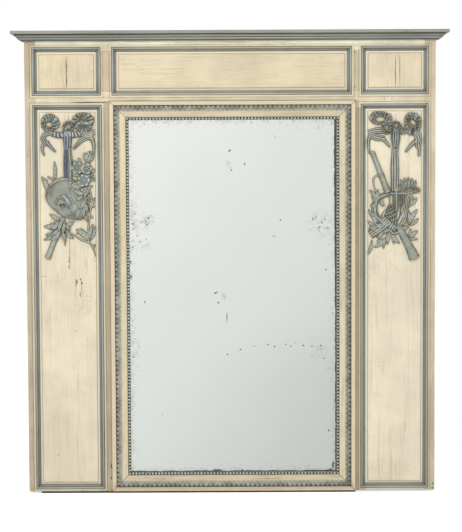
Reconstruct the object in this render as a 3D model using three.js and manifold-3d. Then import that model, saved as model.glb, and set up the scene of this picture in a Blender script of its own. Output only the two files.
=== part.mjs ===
// A trumeau mirror: a panelled, painted wood frame with a cornice, three frieze panels, two tall
// side panels with carved ribbon trophies, and a mitred mirror frame round an aged plate.
// Millimetres, +Z up, front towards -Y. The origin is under the middle of the box that holds it all.
import * as THREE from "three";
import { mergeVertices } from "three/addons/utils/BufferGeometryUtils.js";
import Module from "manifold-3d";

const wasm = await Module();
wasm.setup();

// ---------------------------------------------------------------- driving dimensions
const FIT = 0.3; // gap between two pieces that meet
const MITRE_GAP = 0.2; // each mitred end stops this far short along its length

// Widths across the front, left to right
const OUTER_STILE_LEFT = 26;
const SIDE_BAY_LEFT = 254.5;
const INNER_STILE_LEFT = 27;
const SIGHT_WIDTH = 757.5;
const INNER_STILE_RIGHT = 19.5;
const SIDE_BAY_RIGHT = 247.5;
const OUTER_STILE_RIGHT = 25;
const UPPER_BAY_LEFT = 251.5;
const MUNTIN_LEFT = 39;
const MUNTIN_RIGHT = 33;
const UPPER_BAY_RIGHT = 246.5;

// Heights, bottom to top
const SOLE_HEIGHT = 7;
const BOTTOM_RAIL = 8; // face left visible under a side panel
const SIGHT_HEIGHT = 1296;
const SEAM_LIP = 13; // mid rail face below the top of the mirror frame, at the side bays
const MID_RAIL = 20.5;
const FRIEZE_HEIGHT = 176;
const TOP_RAIL = 21.5;
const CROWN_HEIGHT = 23;
const CAP_THICKNESS = 12;

// Depths, measured forward from the wall
const BATTEN_DEPTH = 22;
const FRAME_THICKNESS = 28;
const CORNICE_OVERHANG = 45;

// Frame-and-panel joinery. Tongues and tenons lie midway between the frame's back and the seat.
const SEAT_WIDTH = 14; // ledge under a panel moulding
const SEAT_DEPTH = 12; // ledge below the frame face
const STEP_WIDTH = 8; // sunk margin round each panel opening
const STEP_DEPTH = 2;
const TONGUE_THICKNESS = 6;
const GROOVE_DEPTH = 9;
const TONGUE_PLAY = 1; // room for the panel to swell
const TENON_THICKNESS = 9;
const TENON_LENGTH = 20;
const UPRIGHT_TENON_LENGTH = 12;
const TENON_WALL = 1; // wood between an upright's tenon and the panel groove
const TENON_FOOT = 5; // wood under a bottom rail's tenon
const TENON_HEAD = 10; // wood over the top rail's tenon

// Fielded panels
const PANEL_EDGE = 0.5; // panel front clear of the frame's inner edge
const BEVEL_WIDTH = 8;
const FIELD_SETBACK = 5; // field below the frame face
const ARRIS_HEIGHT = 1.2; // small step at the edge of the field

// Panel moulding section, from the frame inwards: quirk, torus, fillet and cove
const MOULDING_LAP = 3; // moulding over the panel, past the seat
const QUIRK_WIDTH = 1.2;
const QUIRK_DROP = 0.4; // torus springs this far below the sunk margin
const TORUS_RADIUS = 3.6;
const FILLET_WIDTH = 1.6;
const FILLET_DROP = 1;
const TOE_WIDTH = 1.2; // flat past the cove
const TOE_HEIGHT = 2.5;

// Mirror frame section, outside to inside
const BAND_WIDTH = 15.5;
const BAND_EASE = 0.8; // softened edges of the band
const LEAF_WIDTH = 21.5;
const LEAF_DROP = 2.5; // springing of the leaf band below the outer band
const LEAF_LEDGE = 1;
const LEAF_ROUND = 7; // half width of the leaf band's swell
const LEAF_CROWN = 5; // height of the swell
const LEAF_TOE_WIDTH = 3;
const LEAF_TOE_HEIGHT = 1.4;
const FLAT_WIDTH = 22;
const FLAT_PROUD = 0.5; // flat in front of the stiles
const FLAT_FALL = 0.5; // slope of the flat towards the glass
const PEARL_WIDTH = 11;
const PEARL_SEAT = 4; // seat of the pearls below the stiles' face
const PEARL_SPRING = 2;
const PEARL_CROWN = 5;
const FRAME_PROUD = 6; // mirror frame band in front of the stiles
const LIP_THICKNESS = 4.7;
const REBATE_WIDTH = 12;
const PLATE_THICKNESS = 4;
const PLATE_PLAY = 1;

// Cornice section, from the body outwards: soffit, lower round, fillet, upper round and fascia
const CAP_LIP = 12; // cap board beyond the crown
const CAP_EASE = 1.2;
const SOFFIT_WIDTH = 12;
const ROUND_INSET = 2; // chamfer between soffit and lower round
const ROUND_FOOT = 3;
const ROUND_RISE = 8;
const ROUND_FILLET = 1.5;
const UPPER_ROUND_STEP = 1;
const UPPER_ROUND_WIDTH = 6;
const FASCIA_STEP = 2.5;
const FASCIA_HEIGHT = 5;

// Back
const BATTEN_WIDTH = 62;
const BATTEN_END = 20; // batten stops this far inside the body
const BATTEN_LAP = 4; // battens reach this far past the edge of the glass that shows
const SOLE_LEFT_END = 45; // sole strip starts this far in from the left
const SOLE_SETBACK = 2;
const SOLE_DEPTH = 24;

// Hangers
const HANGER_DROP = 69; // axis of the rings below the upper batten
const STRAP_WIDTH = 16;
const STRAP_LENGTH = 48;
const STRAP_THICKNESS = 1.7;
const RING_WIRE = 2; // radius
const RING_SIDES = 8;
const EYE_CLEARANCE = 0.4;
const RING_HALF_WIDTH = 19;
const RING_CORNER = 4;

// Carved ornament: each is drawn for a field of one width, and fitted to the field it lies on
const ORNAMENT_FIELD_LEFT = 204;
const ORNAMENT_FIELD_RIGHT = 197;
const RELIEF_LOW = 5;
const RELIEF_MID = 7; // nothing under the ribbon's end is higher
const RELIEF_HIGH = 10;
const RIBBON_END = 12;
const CROWN_DRAW = 0.16; // how far a carved crown is drawn in towards its middle
const SIDE_SHARE = 0.6; // height at which the crown starts

// ---------------------------------------------------------------- derived places
const BAR = BAND_WIDTH + LEAF_WIDTH + FLAT_WIDTH + PEARL_WIDTH;
const FRAME_WIDTH = SIGHT_WIDTH + 2 * BAR;
const BODY_WIDTH =
  OUTER_STILE_LEFT + SIDE_BAY_LEFT + INNER_STILE_LEFT + FRAME_WIDTH +
  INNER_STILE_RIGHT + SIDE_BAY_RIGHT + OUTER_STILE_RIGHT;
const bodyLeft = -BODY_WIDTH / 2;
const bodyRight = BODY_WIDTH / 2;
const baysLeft = bodyLeft + OUTER_STILE_LEFT;
const baysRight = bodyRight - OUTER_STILE_RIGHT;
const frameLeft = baysLeft + SIDE_BAY_LEFT + INNER_STILE_LEFT;
const frameRight = frameLeft + FRAME_WIDTH;

const baseZ = SOLE_HEIGHT;
const frameTop = baseZ + SIGHT_HEIGHT + 2 * BAR;
const friezeBottom = frameTop + MID_RAIL;
const friezeTop = friezeBottom + FRIEZE_HEIGHT;
const bodyTop = friezeTop + TOP_RAIL;
const crownTop = bodyTop + CROWN_HEIGHT;

const backP = BATTEN_DEPTH;
const faceP = backP + FRAME_THICKNESS;
const seatP = faceP - SEAT_DEPTH;
const tongueP = (backP + seatP - TONGUE_THICKNESS) / 2;
const tenonP = (backP + seatP - TENON_THICKNESS) / 2;
const fieldP = faceP - FIELD_SETBACK;
const bandP = faceP + FRAME_PROUD;
const OBJECT_DEPTH = faceP + CORNICE_OVERHANG;

// y of a depth p measured forward from the wall
const yAt = (p) => OBJECT_DEPTH / 2 - p;

const rect = (x0, x1, z0, z1) => ({ x0, x1, z0, z1 });
const openings = {
  upper_left: rect(baysLeft, baysLeft + UPPER_BAY_LEFT, friezeBottom, friezeTop),
  frieze: rect(
    baysLeft + UPPER_BAY_LEFT + MUNTIN_LEFT,
    baysRight - UPPER_BAY_RIGHT - MUNTIN_RIGHT,
    friezeBottom,
    friezeTop,
  ),
  upper_right: rect(baysRight - UPPER_BAY_RIGHT, baysRight, friezeBottom, friezeTop),
  side_left: rect(baysLeft, baysLeft + SIDE_BAY_LEFT, baseZ + BOTTOM_RAIL, frameTop - SEAM_LIP),
  side_right: rect(baysRight - SIDE_BAY_RIGHT, baysRight, baseZ + BOTTOM_RAIL, frameTop - SEAM_LIP),
};
const sight = rect(frameLeft + BAR, frameRight - BAR, baseZ + BAR, frameTop - BAR);
const grow = (r, by) => rect(r.x0 - by, r.x1 + by, r.z0 - by, r.z1 + by);

// ---------------------------------------------------------------- materials
const paint = (color) => new THREE.MeshStandardMaterial({ color, roughness: 0.6, metalness: 0 });
const cream = paint(0xd9cdac);
const paleCream = paint(0xe2d8bb);
const blue = paint(0x8c928a);
const deepBlue = paint(0x7d8680);
const lipGrey = paint(0x97948b);
const bareWood = new THREE.MeshStandardMaterial({ color: 0x7a6247, roughness: 0.8, metalness: 0 });
const silvered = new THREE.MeshStandardMaterial({ color: 0xdfe2dd, roughness: 0.05, metalness: 1 });
const iron = new THREE.MeshStandardMaterial({ color: 0x6b6459, roughness: 0.45, metalness: 0.9 });

// ---------------------------------------------------------------- solids
const group = new THREE.Group();

function add(name, geometry, material) {
  const mesh = new THREE.Mesh(geometry, material.clone());
  mesh.name = name;
  group.add(mesh);
}

function signedVolume(position, index) {
  const corner = [0, 1, 2].map(() => new THREE.Vector3());
  let sum = 0;
  for (let i = 0; i < index.length; i += 3) {
    corner.forEach((c, k) => c.fromBufferAttribute(position, index[i + k]));
    sum += corner[0].dot(corner[1].cross(corner[2]));
  }
  return sum / 6;
}

function indexed(points, index) {
  const geometry = new THREE.BufferGeometry().setFromPoints(points);
  if (signedVolume(geometry.getAttribute("position"), index) < 0) index.reverse();
  return geometry.setIndex(index);
}

// Joins outlines of equal point counts ring to ring. The two end rings are capped after `outline`,
// a flat drawing of one ring; with no outline, the last ring joins the first.
function loft(rings, outline) {
  const n = rings[0].length;
  const index = [];
  const spans = outline ? rings.length - 1 : rings.length;
  for (let k = 0; k < spans; k += 1) {
    const here = k * n;
    const next = ((k + 1) % rings.length) * n;
    for (let i = 0; i < n; i += 1) {
      const j = (i + 1) % n;
      index.push(here + i, here + j, next + j, here + i, next + j, next + i);
    }
  }
  if (outline) {
    const { area, triangulateShape } = THREE.ShapeUtils;
    const last = (rings.length - 1) * n;
    for (const face of triangulateShape(outline, [])) {
      const follows = area(face.map((v) => outline[v])) * area(outline) > 0;
      const [a, b, c] = follows ? face : face.toReversed();
      index.push(c, b, a, last + a, last + b, last + c);
    }
  }
  return indexed(rings.flat(), index);
}

function toSolid(geometry) {
  const bare = geometry.clone();
  for (const name of Object.keys(bare.attributes)) {
    if (name !== "position") bare.deleteAttribute(name);
  }
  const merged = mergeVertices(bare, 1e-4);
  return new wasm.Manifold(
    new wasm.Mesh({
      numProp: 3,
      vertProperties: Float32Array.from(merged.getAttribute("position").array),
      triVerts: Uint32Array.from(merged.index.array),
    }),
  );
}

function toGeometry(solid) {
  const mesh = solid.getMesh();
  const geometry = new THREE.BufferGeometry();
  geometry.setAttribute("position", new THREE.BufferAttribute(mesh.vertProperties, 3));
  return geometry.setIndex(new THREE.BufferAttribute(mesh.triVerts, 1));
}

const unite = (pieces) => pieces.map(toSolid).reduce((sum, piece) => sum.add(piece));
const cutFrom = (geometry, tools) => toSolid(geometry).subtract(unite(tools));

function block(r, p0, p1) {
  const box = new THREE.BoxGeometry(r.x1 - r.x0, p1 - p0, r.z1 - r.z0);
  return box.translate((r.x0 + r.x1) / 2, yAt((p0 + p1) / 2), (r.z0 + r.z1) / 2);
}

const SQUARE = [[0, 0], [1, 0], [1, 1], [0, 1]].map(([x, y]) => new THREE.Vector2(x, y));

// A solid of rectangles parallel to the wall, each [inset from r, depth]
function stack(r, levels) {
  const rings = levels.map(([inset, p]) => {
    const s = grow(r, -inset);
    return [[s.x0, s.z0], [s.x1, s.z0], [s.x1, s.z1], [s.x0, s.z1]].map(
      ([x, z]) => new THREE.Vector3(x, yAt(p), z),
    );
  });
  return loft(rings, SQUARE);
}

// Points on an elliptical arc, angles in degrees
function arc(cx, cy, rx, ry, from, to, steps) {
  return Array.from({ length: steps + 1 }, (_, i) => {
    const a = THREE.MathUtils.degToRad(from + ((to - from) * i) / steps);
    return [cx + rx * Math.cos(a), cy + ry * Math.sin(a)];
  });
}

// Four mitred lengths round the outside edge of r. A profile point is [inset, depth].
function mitredFrame(prefix, r, profile, material) {
  const outline = profile.map(([u, p]) => new THREE.Vector2(u, p));
  const g = MITRE_GAP;
  const sides = {
    top: (u) => [[r.x0 + u + g, r.z1 - u], [r.x1 - u - g, r.z1 - u]],
    bottom: (u) => [[r.x0 + u + g, r.z0 + u], [r.x1 - u - g, r.z0 + u]],
    left: (u) => [[r.x0 + u, r.z0 + u + g], [r.x0 + u, r.z1 - u - g]],
    right: (u) => [[r.x1 - u, r.z0 + u + g], [r.x1 - u, r.z1 - u - g]],
  };
  for (const [side, ends] of Object.entries(sides)) {
    const rings = [0, 1].map((end) =>
      profile.map(([u, p]) => new THREE.Vector3(ends(u)[end][0], yAt(p), ends(u)[end][1])),
    );
    add(`${prefix}_${side}`, loft(rings, outline), material);
  }
}

// ---------------------------------------------------------------- frame of stiles and rails
// What each panel opening takes out of the members round it
const openingSpace = unite(
  Object.values(openings).flatMap((r) => [
    block(grow(r, STEP_WIDTH), faceP - STEP_DEPTH, faceP + SEAT_DEPTH),
    block(r, seatP, faceP + SEAT_DEPTH),
    block(grow(r, GROOVE_DEPTH - SEAT_WIDTH), tongueP - FIT, tongueP + TONGUE_THICKNESS + FIT),
    block(grow(r, -SEAT_WIDTH), -FIT, faceP + SEAT_DEPTH),
  ]),
);
const frameSpace = toSolid(
  block(rect(frameLeft - FIT, frameRight + FIT, 0, frameTop + FIT), 0, faceP + SEAT_DEPTH),
);
const tenonBlock = (r) => block(r, tenonP, tenonP + TENON_THICKNESS);
const mortiseBlock = (r) =>
  block(grow(r, FIT), tenonP - FIT, tenonP + TENON_THICKNESS + FIT);

// A member is a block less the panel openings, with its own tenons and its neighbours' mortises
function member(name, r, tenons, mortises) {
  let solid = toSolid(block(r, backP, faceP)).subtract(openingSpace).subtract(frameSpace);
  if (tenons.length) solid = solid.add(unite(tenons.map(tenonBlock)));
  if (mortises.length) solid = solid.subtract(unite(mortises.map(mortiseBlock)));
  add(name, toGeometry(solid), cream);
}

const stileLeftInner = baysLeft + SEAT_WIDTH;
const stileRightInner = baysRight - SEAT_WIDTH;
const midRailBottom = frameTop - SEAM_LIP - SEAT_WIDTH;
const midRailTop = friezeBottom + SEAT_WIDTH;
const topRailBottom = friezeTop - SEAT_WIDTH;
const bottomRailTop = baseZ + BOTTOM_RAIL + SEAT_WIDTH;
const innerLeft = rect(
  openings.side_left.x1 - SEAT_WIDTH, frameLeft - FIT, baseZ, midRailBottom - FIT,
);
const innerRight = rect(
  frameRight + FIT, openings.side_right.x0 + SEAT_WIDTH, baseZ, midRailBottom - FIT,
);
const muntinLeft = rect(
  openings.upper_left.x1 - SEAT_WIDTH, openings.frieze.x0 + SEAT_WIDTH,
  midRailTop + FIT, topRailBottom - FIT,
);
const muntinRight = rect(
  openings.frieze.x1 - SEAT_WIDTH, openings.upper_right.x0 + SEAT_WIDTH,
  midRailTop + FIT, topRailBottom - FIT,
);

// A tenon that runs sideways from x, and one that runs up or down from z
const span = (from, step) => [Math.min(from, from + step), Math.max(from, from + step)];
const sideTenon = (x, direction, z0, z1) => rect(...span(x, direction * TENON_LENGTH), z0, z1);
const shoulder = GROOVE_DEPTH + TENON_WALL;
const endTenon = (r, z, direction) =>
  rect(r.x0 + shoulder, r.x1 - shoulder, ...span(z, direction * UPRIGHT_TENON_LENGTH));

const topTenonZ = [friezeTop, crownTop - TENON_HEAD];
const midTenonZ = [frameTop - SEAM_LIP - STEP_DEPTH, friezeBottom + STEP_DEPTH];
const bottomTenonZ = [baseZ + TENON_FOOT, baseZ + BOTTOM_RAIL + STEP_DEPTH];
const tenons = {
  topLeft: sideTenon(stileLeftInner + FIT, -1, ...topTenonZ),
  topRight: sideTenon(stileRightInner - FIT, 1, ...topTenonZ),
  midLeft: sideTenon(stileLeftInner + FIT, -1, ...midTenonZ),
  midRight: sideTenon(stileRightInner - FIT, 1, ...midTenonZ),
  bottomLeftOuter: sideTenon(stileLeftInner + FIT, -1, ...bottomTenonZ),
  bottomLeftInner: sideTenon(innerLeft.x0 - FIT, 1, ...bottomTenonZ),
  bottomRightInner: sideTenon(innerRight.x1 + FIT, -1, ...bottomTenonZ),
  bottomRightOuter: sideTenon(stileRightInner - FIT, 1, ...bottomTenonZ),
  innerLeftTop: endTenon(innerLeft, innerLeft.z1, 1),
  innerRightTop: endTenon(innerRight, innerRight.z1, 1),
  muntinLeftTop: endTenon(muntinLeft, muntinLeft.z1, 1),
  muntinLeftFoot: endTenon(muntinLeft, muntinLeft.z0, -1),
  muntinRightTop: endTenon(muntinRight, muntinRight.z1, 1),
  muntinRightFoot: endTenon(muntinRight, muntinRight.z0, -1),
};
const pick = (...names) => names.map((name) => tenons[name]);

member(
  "outer_stile_left", rect(bodyLeft, stileLeftInner, baseZ, crownTop),
  [], pick("topLeft", "midLeft", "bottomLeftOuter"),
);
member(
  "outer_stile_right", rect(stileRightInner, bodyRight, baseZ, crownTop),
  [], pick("topRight", "midRight", "bottomRightOuter"),
);
member(
  "top_rail", rect(stileLeftInner + FIT, stileRightInner - FIT, topRailBottom, crownTop),
  pick("topLeft", "topRight"), pick("muntinLeftTop", "muntinRightTop"),
);
member(
  "mid_rail", rect(stileLeftInner + FIT, stileRightInner - FIT, midRailBottom, midRailTop),
  pick("midLeft", "midRight"),
  pick("innerLeftTop", "innerRightTop", "muntinLeftFoot", "muntinRightFoot"),
);
member(
  "bottom_rail_left", rect(stileLeftInner + FIT, innerLeft.x0 - FIT, baseZ, bottomRailTop),
  pick("bottomLeftOuter", "bottomLeftInner"), [],
);
member(
  "bottom_rail_right", rect(innerRight.x1 + FIT, stileRightInner - FIT, baseZ, bottomRailTop),
  pick("bottomRightInner", "bottomRightOuter"), [],
);
member("inner_stile_left", innerLeft, pick("innerLeftTop"), pick("bottomLeftInner"));
member("inner_stile_right", innerRight, pick("innerRightTop"), pick("bottomRightInner"));
member("frieze_muntin_left", muntinLeft, pick("muntinLeftTop", "muntinLeftFoot"), []);
member("frieze_muntin_right", muntinRight, pick("muntinRightTop", "muntinRightFoot"), []);

// ---------------------------------------------------------------- fielded panels
const mouldingWidth = SEAT_WIDTH + MOULDING_LAP;
const tongueInset = SEAT_WIDTH - GROOVE_DEPTH + TONGUE_PLAY;
const bevelInset = mouldingWidth - PANEL_EDGE;
const fieldInset = mouldingWidth + BEVEL_WIDTH;
for (const [name, r] of Object.entries(openings)) {
  const levels = [
    [tongueInset, tongueP],
    [tongueInset, tongueP + TONGUE_THICKNESS],
    [SEAT_WIDTH + PANEL_EDGE, tongueP + TONGUE_THICKNESS],
    [SEAT_WIDTH + PANEL_EDGE, seatP - FIT],
    [bevelInset, seatP - FIT],
    [fieldInset, fieldP - 2 * ARRIS_HEIGHT],
    [fieldInset, fieldP - ARRIS_HEIGHT / 2],
    [fieldInset + ARRIS_HEIGHT / 2, fieldP],
  ];
  add(`${name}_panel`, stack(r, levels), paleCream);
}

const springP = faceP - STEP_DEPTH - QUIRK_DROP;
const filletP = springP - FILLET_DROP;
const torusEnd = QUIRK_WIDTH + 2 * TORUS_RADIUS;
const coveEnd = mouldingWidth - TOE_WIDTH;
const coveWidth = coveEnd - torusEnd - FILLET_WIDTH;
const mouldingBackP = seatP + FIT;
const toeP = mouldingBackP + TOE_HEIGHT;
const mouldingProfile = [
  [FIT, mouldingBackP],
  [FIT, springP],
  ...arc(QUIRK_WIDTH + TORUS_RADIUS, springP, TORUS_RADIUS, TORUS_RADIUS, 180, 0, 6),
  [torusEnd, filletP],
  ...arc(coveEnd, filletP, coveWidth, filletP - toeP, 180, 270, 4),
  [mouldingWidth, toeP],
  [mouldingWidth, mouldingBackP],
];
for (const [name, r] of Object.entries(openings)) {
  mitredFrame(`${name}_moulding`, r, mouldingProfile, blue);
}

// ---------------------------------------------------------------- mirror frame
const frameRect = rect(frameLeft, frameRight, baseZ, frameTop);
const leafStart = BAND_WIDTH;
const flatStart = leafStart + LEAF_WIDTH;
const pearlStart = flatStart + FLAT_WIDTH;
const bandEdgeP = bandP - BAND_EASE;
const leafP = bandP - LEAF_DROP;
const leafMiddle = leafStart + LEAF_LEDGE + LEAF_ROUND;
const leafEnd = flatStart - BAND_EASE;
const flatP = faceP + FLAT_PROUD;
const pearlSeatP = faceP - PEARL_SEAT;
const plateFrontP = pearlSeatP - LIP_THICKNESS;
const rebateStart = BAR - REBATE_WIDTH;
const frameProfile = [
  [0, backP],
  [0, bandEdgeP],
  [BAND_EASE, bandP],
  [leafStart - BAND_EASE, bandP],
  [leafStart, bandEdgeP],
  [leafStart, leafP],
  ...arc(leafMiddle, leafP, LEAF_ROUND, LEAF_CROWN, 180, 40, 6),
  [flatStart - LEAF_TOE_WIDTH, flatP + LEAF_TOE_HEIGHT],
  [leafEnd, flatP + LEAF_TOE_HEIGHT / 2],
  [leafEnd, flatP],
  [pearlStart, flatP - FLAT_FALL],
  [pearlStart, pearlSeatP],
  [BAR - FIT, pearlSeatP],
  [BAR - FIT, plateFrontP],
  [rebateStart, plateFrontP],
  [rebateStart, backP],
];
mitredFrame("mirror_frame", frameRect, frameProfile, cream);

const pearlMiddle = pearlStart + PEARL_WIDTH / 2;
const pearlHalf = PEARL_WIDTH / 2 - FIT;
const pearlProfile = [
  [pearlMiddle - pearlHalf, pearlSeatP + FIT],
  ...arc(pearlMiddle, pearlSeatP + PEARL_SPRING, pearlHalf, PEARL_CROWN, 180, 0, 6),
  [pearlMiddle + pearlHalf, pearlSeatP + FIT],
];
mitredFrame("pearl_moulding", frameRect, pearlProfile, deepBlue);

const plateRect = grow(sight, REBATE_WIDTH - PLATE_PLAY);
const plateBackP = plateFrontP - FIT - PLATE_THICKNESS;
add("mirror_plate", block(plateRect, plateBackP, plateFrontP - FIT), silvered);
add("backboard", block(plateRect, backP + FIT, plateBackP - FIT), bareWood);

// ---------------------------------------------------------------- cornice
// A profile point is [distance out from the body, height above the body's top]
const crownEdge = CORNICE_OVERHANG - CAP_LIP;
const fasciaFoot = CROWN_HEIGHT - FASCIA_HEIGHT;
const upperRoundX = crownEdge - FASCIA_STEP - UPPER_ROUND_WIDTH;
const upperRoundFoot = ROUND_FOOT + ROUND_RISE + UPPER_ROUND_STEP;
const upperRoundTop = fasciaFoot - UPPER_ROUND_STEP;
const lowerRoundX = SOFFIT_WIDTH + ROUND_INSET;
const lowerRoundWidth = upperRoundX - ROUND_FILLET - lowerRoundX;
const crownProfile = [
  [FIT, FIT],
  [SOFFIT_WIDTH, FIT],
  ...arc(lowerRoundX, ROUND_FOOT + ROUND_RISE, lowerRoundWidth, ROUND_RISE, -90, 0, 5),
  [upperRoundX, ROUND_FOOT + ROUND_RISE],
  ...arc(upperRoundX, upperRoundTop, UPPER_ROUND_WIDTH, upperRoundTop - upperRoundFoot, -90, 0, 4),
  [crownEdge, fasciaFoot],
  [crownEdge, CROWN_HEIGHT - FIT],
  [FIT, CROWN_HEIGHT - FIT],
];
const crownOutline = crownProfile.map(([u, h]) => new THREE.Vector2(u, h));
const crownRing = (place) =>
  crownProfile.map(([u, h]) => new THREE.Vector3(...place(u), bodyTop + h));
const crownFront = [
  crownRing((u) => [bodyLeft - u + MITRE_GAP, yAt(faceP + u)]),
  crownRing((u) => [bodyRight + u - MITRE_GAP, yAt(faceP + u)]),
];
add("crown_front", loft(crownFront, crownOutline), blue);
for (const [name, edge, out] of [["left", bodyLeft, -1], ["right", bodyRight, 1]]) {
  const crownReturn = [
    crownRing((u) => [edge + out * u, yAt(faceP + u - MITRE_GAP)]),
    crownRing((u) => [edge + out * u, yAt(0)]),
  ];
  add(`crown_return_${name}`, loft(crownReturn, crownOutline), blue);
}

// Cap board over the crown, with eased edges
const capLevels = [
  [CAP_EASE, FIT],
  [0, CAP_EASE + FIT],
  [0, CAP_THICKNESS - CAP_EASE],
  [CAP_EASE, CAP_THICKNESS],
];
const capRings = capLevels.map(([inset, h]) => {
  const x = bodyRight + CORNICE_OVERHANG - inset;
  const y = OBJECT_DEPTH / 2 - inset;
  const corners = [[-x, -y], [x, -y], [x, y], [-x, y]];
  return corners.map(([cx, cy]) => new THREE.Vector3(cx, cy, crownTop + h));
});
add("cap_board", loft(capRings, SQUARE), lipGrey);

// ---------------------------------------------------------------- carved ornament
// Local millimetres: x from the field's centre line, z down from the field's top edge.
function carver(opening, drawnWidth) {
  const field = grow(opening, -fieldInset);
  const scale = (field.x1 - field.x0) / drawnWidth;
  const middle = (field.x0 + field.x1) / 2;
  const at = ([x, z], lift) =>
    new THREE.Vector3(middle + scale * x, yAt(fieldP + FIT + lift), field.z1 + scale * z);

  // An outline carved with upright sides and a crown drawn in towards its middle
  function mound(points, high, low = 0) {
    const centre = [0, 1].map((k) => points.reduce((sum, q) => sum + q[k], 0) / points.length);
    const crown = points.map((q) => q.map((v, k) => THREE.MathUtils.lerp(v, centre[k], CROWN_DRAW)));
    const rings = [
      points.map((q) => at(q, low)),
      points.map((q) => at(q, THREE.MathUtils.lerp(low, high, SIDE_SHARE))),
      crown.map((q) => at(q, high)),
    ];
    return loft(rings, points.map((q) => new THREE.Vector2(...q)));
  }

  const OVAL_SIDES = 16;
  const oval = (x, z, rx, rz) => arc(x, z, rx, rz, 0, 360, OVAL_SIDES).slice(0, OVAL_SIDES);
  const disc = (x, z, rx, rz, high) => mound(oval(x, z, rx, rz), high);

  // A mound with an oval hole right through it
  function pierced(geometry, x, z, rx, rz) {
    const tool = loft(
      [-1, 2 * RIBBON_END].map((lift) => oval(x, z, rx, rz).map((q) => at(q, lift))),
      oval(x, z, rx, rz).map((q) => new THREE.Vector2(...q)),
    );
    return toGeometry(cutFrom(geometry, [tool]));
  }
  const loop = ([x, z, rx, rz, holeX, holeZ, holeRx, holeRz]) =>
    pierced(disc(x, z, rx, rz, RELIEF_HIGH), holeX, holeZ, holeRx, holeRz);

  // A strip of even width along a path
  function strip(path, width, high, low = 0) {
    const side = (sign) =>
      path.map(([x, z], i) => {
        const [ax, az] = path[Math.max(i - 1, 0)];
        const [bx, bz] = path[Math.min(i + 1, path.length - 1)];
        const length = Math.hypot(bx - ax, bz - az);
        return [
          x - (sign * width * (bz - az)) / (2 * length),
          z + (sign * width * (bx - ax)) / (2 * length),
        ];
      });
    return mound([...side(1), ...side(-1).reverse()], high, low);
  }

  // A pointed leaf from its foot to its tip
  function leaf([x, z, tipX, tipZ, width], high = RELIEF_LOW) {
    const along = [[0, 0.12], [0.2, 0.7], [0.45, 1], [0.75, 0.62], [1, 0]];
    const half = along.map(([t, w]) => [t, (w * width) / 2]);
    const length = Math.hypot(tipX - x, tipZ - z);
    const [ux, uz] = [(tipX - x) / length, (tipZ - z) / length];
    const point = (t, w) => [x + ux * t * length - uz * w, z + uz * t * length + ux * w];
    const outline = [
      ...half.map(([t, w]) => point(t, w)),
      ...half.slice(0, -1).reverse().map(([t, w]) => point(t, -w)),
    ];
    return mound(outline, high);
  }

  // A half-round rod that lies on the field
  function rod([x, z], [endX, endZ], radius, endRadius) {
    const length = Math.hypot(endX - x, endZ - z);
    const [nx, nz] = [(z - endZ) / length, (endX - x) / length];
    const section = arc(0, 0, 1, 1, 0, 180, 8);
    const ring = (cx, cz, r) => section.map(([w, h]) => at([cx + nx * w * r, cz + nz * w * r], h * r));
    return loft(
      [ring(x, z, radius), ring(endX, endZ, endRadius)],
      section.map((q) => new THREE.Vector2(...q)),
    );
  }

  return { mound, disc, pierced, loop, strip, leaf, rod };
}

const addCarved = (name, pieces) => add(name, toGeometry(unite(pieces)), deepBlue);

// Left: a bow whose ribbon holds a palette, brushes and sprays
const left = carver(openings.side_left, ORNAMENT_FIELD_LEFT);
addCarved("ribbon_left", [
  ...[
    [-62, -39, 34, 31, -60, -38, 9, 8],
    [57, -40, 41, 38, 54, -36, 9, 10],
    [4, -55, 19, 19, 4, -54, 7, 7],
  ].map(left.loop),
  left.strip([[-62, -74], [4, -77], [52, -76]], 18, RELIEF_HIGH),
  left.strip([[-46, -78], [-82, -86], [-80, -118], [-85, -156]], 13, RELIEF_LOW),
  left.strip([[-78, -108], [-43, -143]], 10, RELIEF_LOW),
  left.strip([[46, -76], [96, -79]], 16, RELIEF_LOW),
  left.strip([[74, -86], [24, -133]], 11, RELIEF_LOW),
  left.strip([[80, -82], [95, -118], [96, -156]], 10, RELIEF_LOW),
  left.strip([[0, -80], [0, -138], [0, -170], [0, -233]], 29, RELIEF_HIGH),
  left.strip([[9, -222], [9, -285]], 12, RIBBON_END, RELIEF_MID + FIT),
]);

const palette = left.mound(
  [
    [-5, -237], [-27, -240], [-47, -248], [-67, -266], [-78, -287], [-82, -304],
    [-75, -328], [-55, -351], [-21, -378], [16, -390], [46, -392], [62, -376],
    [68, -340], [66, -300], [48, -266], [20, -246],
  ],
  RELIEF_MID,
);
addCarved("trophy_left", [
  left.pierced(palette, -19, -336, 10, 13),
  left.strip([[-12, -312], [8, -346], [30, -388]], 8, RELIEF_HIGH),
  left.rod([-20, -384], [-76, -533], 10, 11),
  left.strip([[66, -330], [60, -262], [72, -212], [77, -176]], 10, RELIEF_MID),
  left.disc(77, -164, 15, 18, RELIEF_HIGH),
  left.disc(36, -206, 19, 19, RELIEF_HIGH),
  left.disc(69, -210, 18, 18, RELIEF_HIGH),
  left.disc(58, -252, 21, 20, RELIEF_HIGH),
  left.strip(
    [[62, -262], [86, -300], [80, -370], [72, -440], [76, -478], [91, -502], [96, -526]],
    7, RELIEF_LOW,
  ),
  left.strip([[-32, -420], [19, -448], [48, -467], [78, -478]], 7, RELIEF_LOW),
  ...[
    [-48, -254, -48, -180, 14], [-47, -250, -74, -235, 10], [-74, -296, -94, -234, 20],
    [-24, -392, -68, -371, 16], [-34, -428, -90, -417, 22], [-38, -434, -88, -466, 12],
    [-14, -432, 23, -398, 18], [-8, -436, 20, -462, 15], [-12, -430, -13, -489, 10],
    [82, -360, 98, -312, 16], [76, -470, 28, -427, 24], [76, -468, 90, -409, 14],
    [80, -470, 100, -414, 14],
  ].map((q) => left.leaf(q)),
]);

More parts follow.
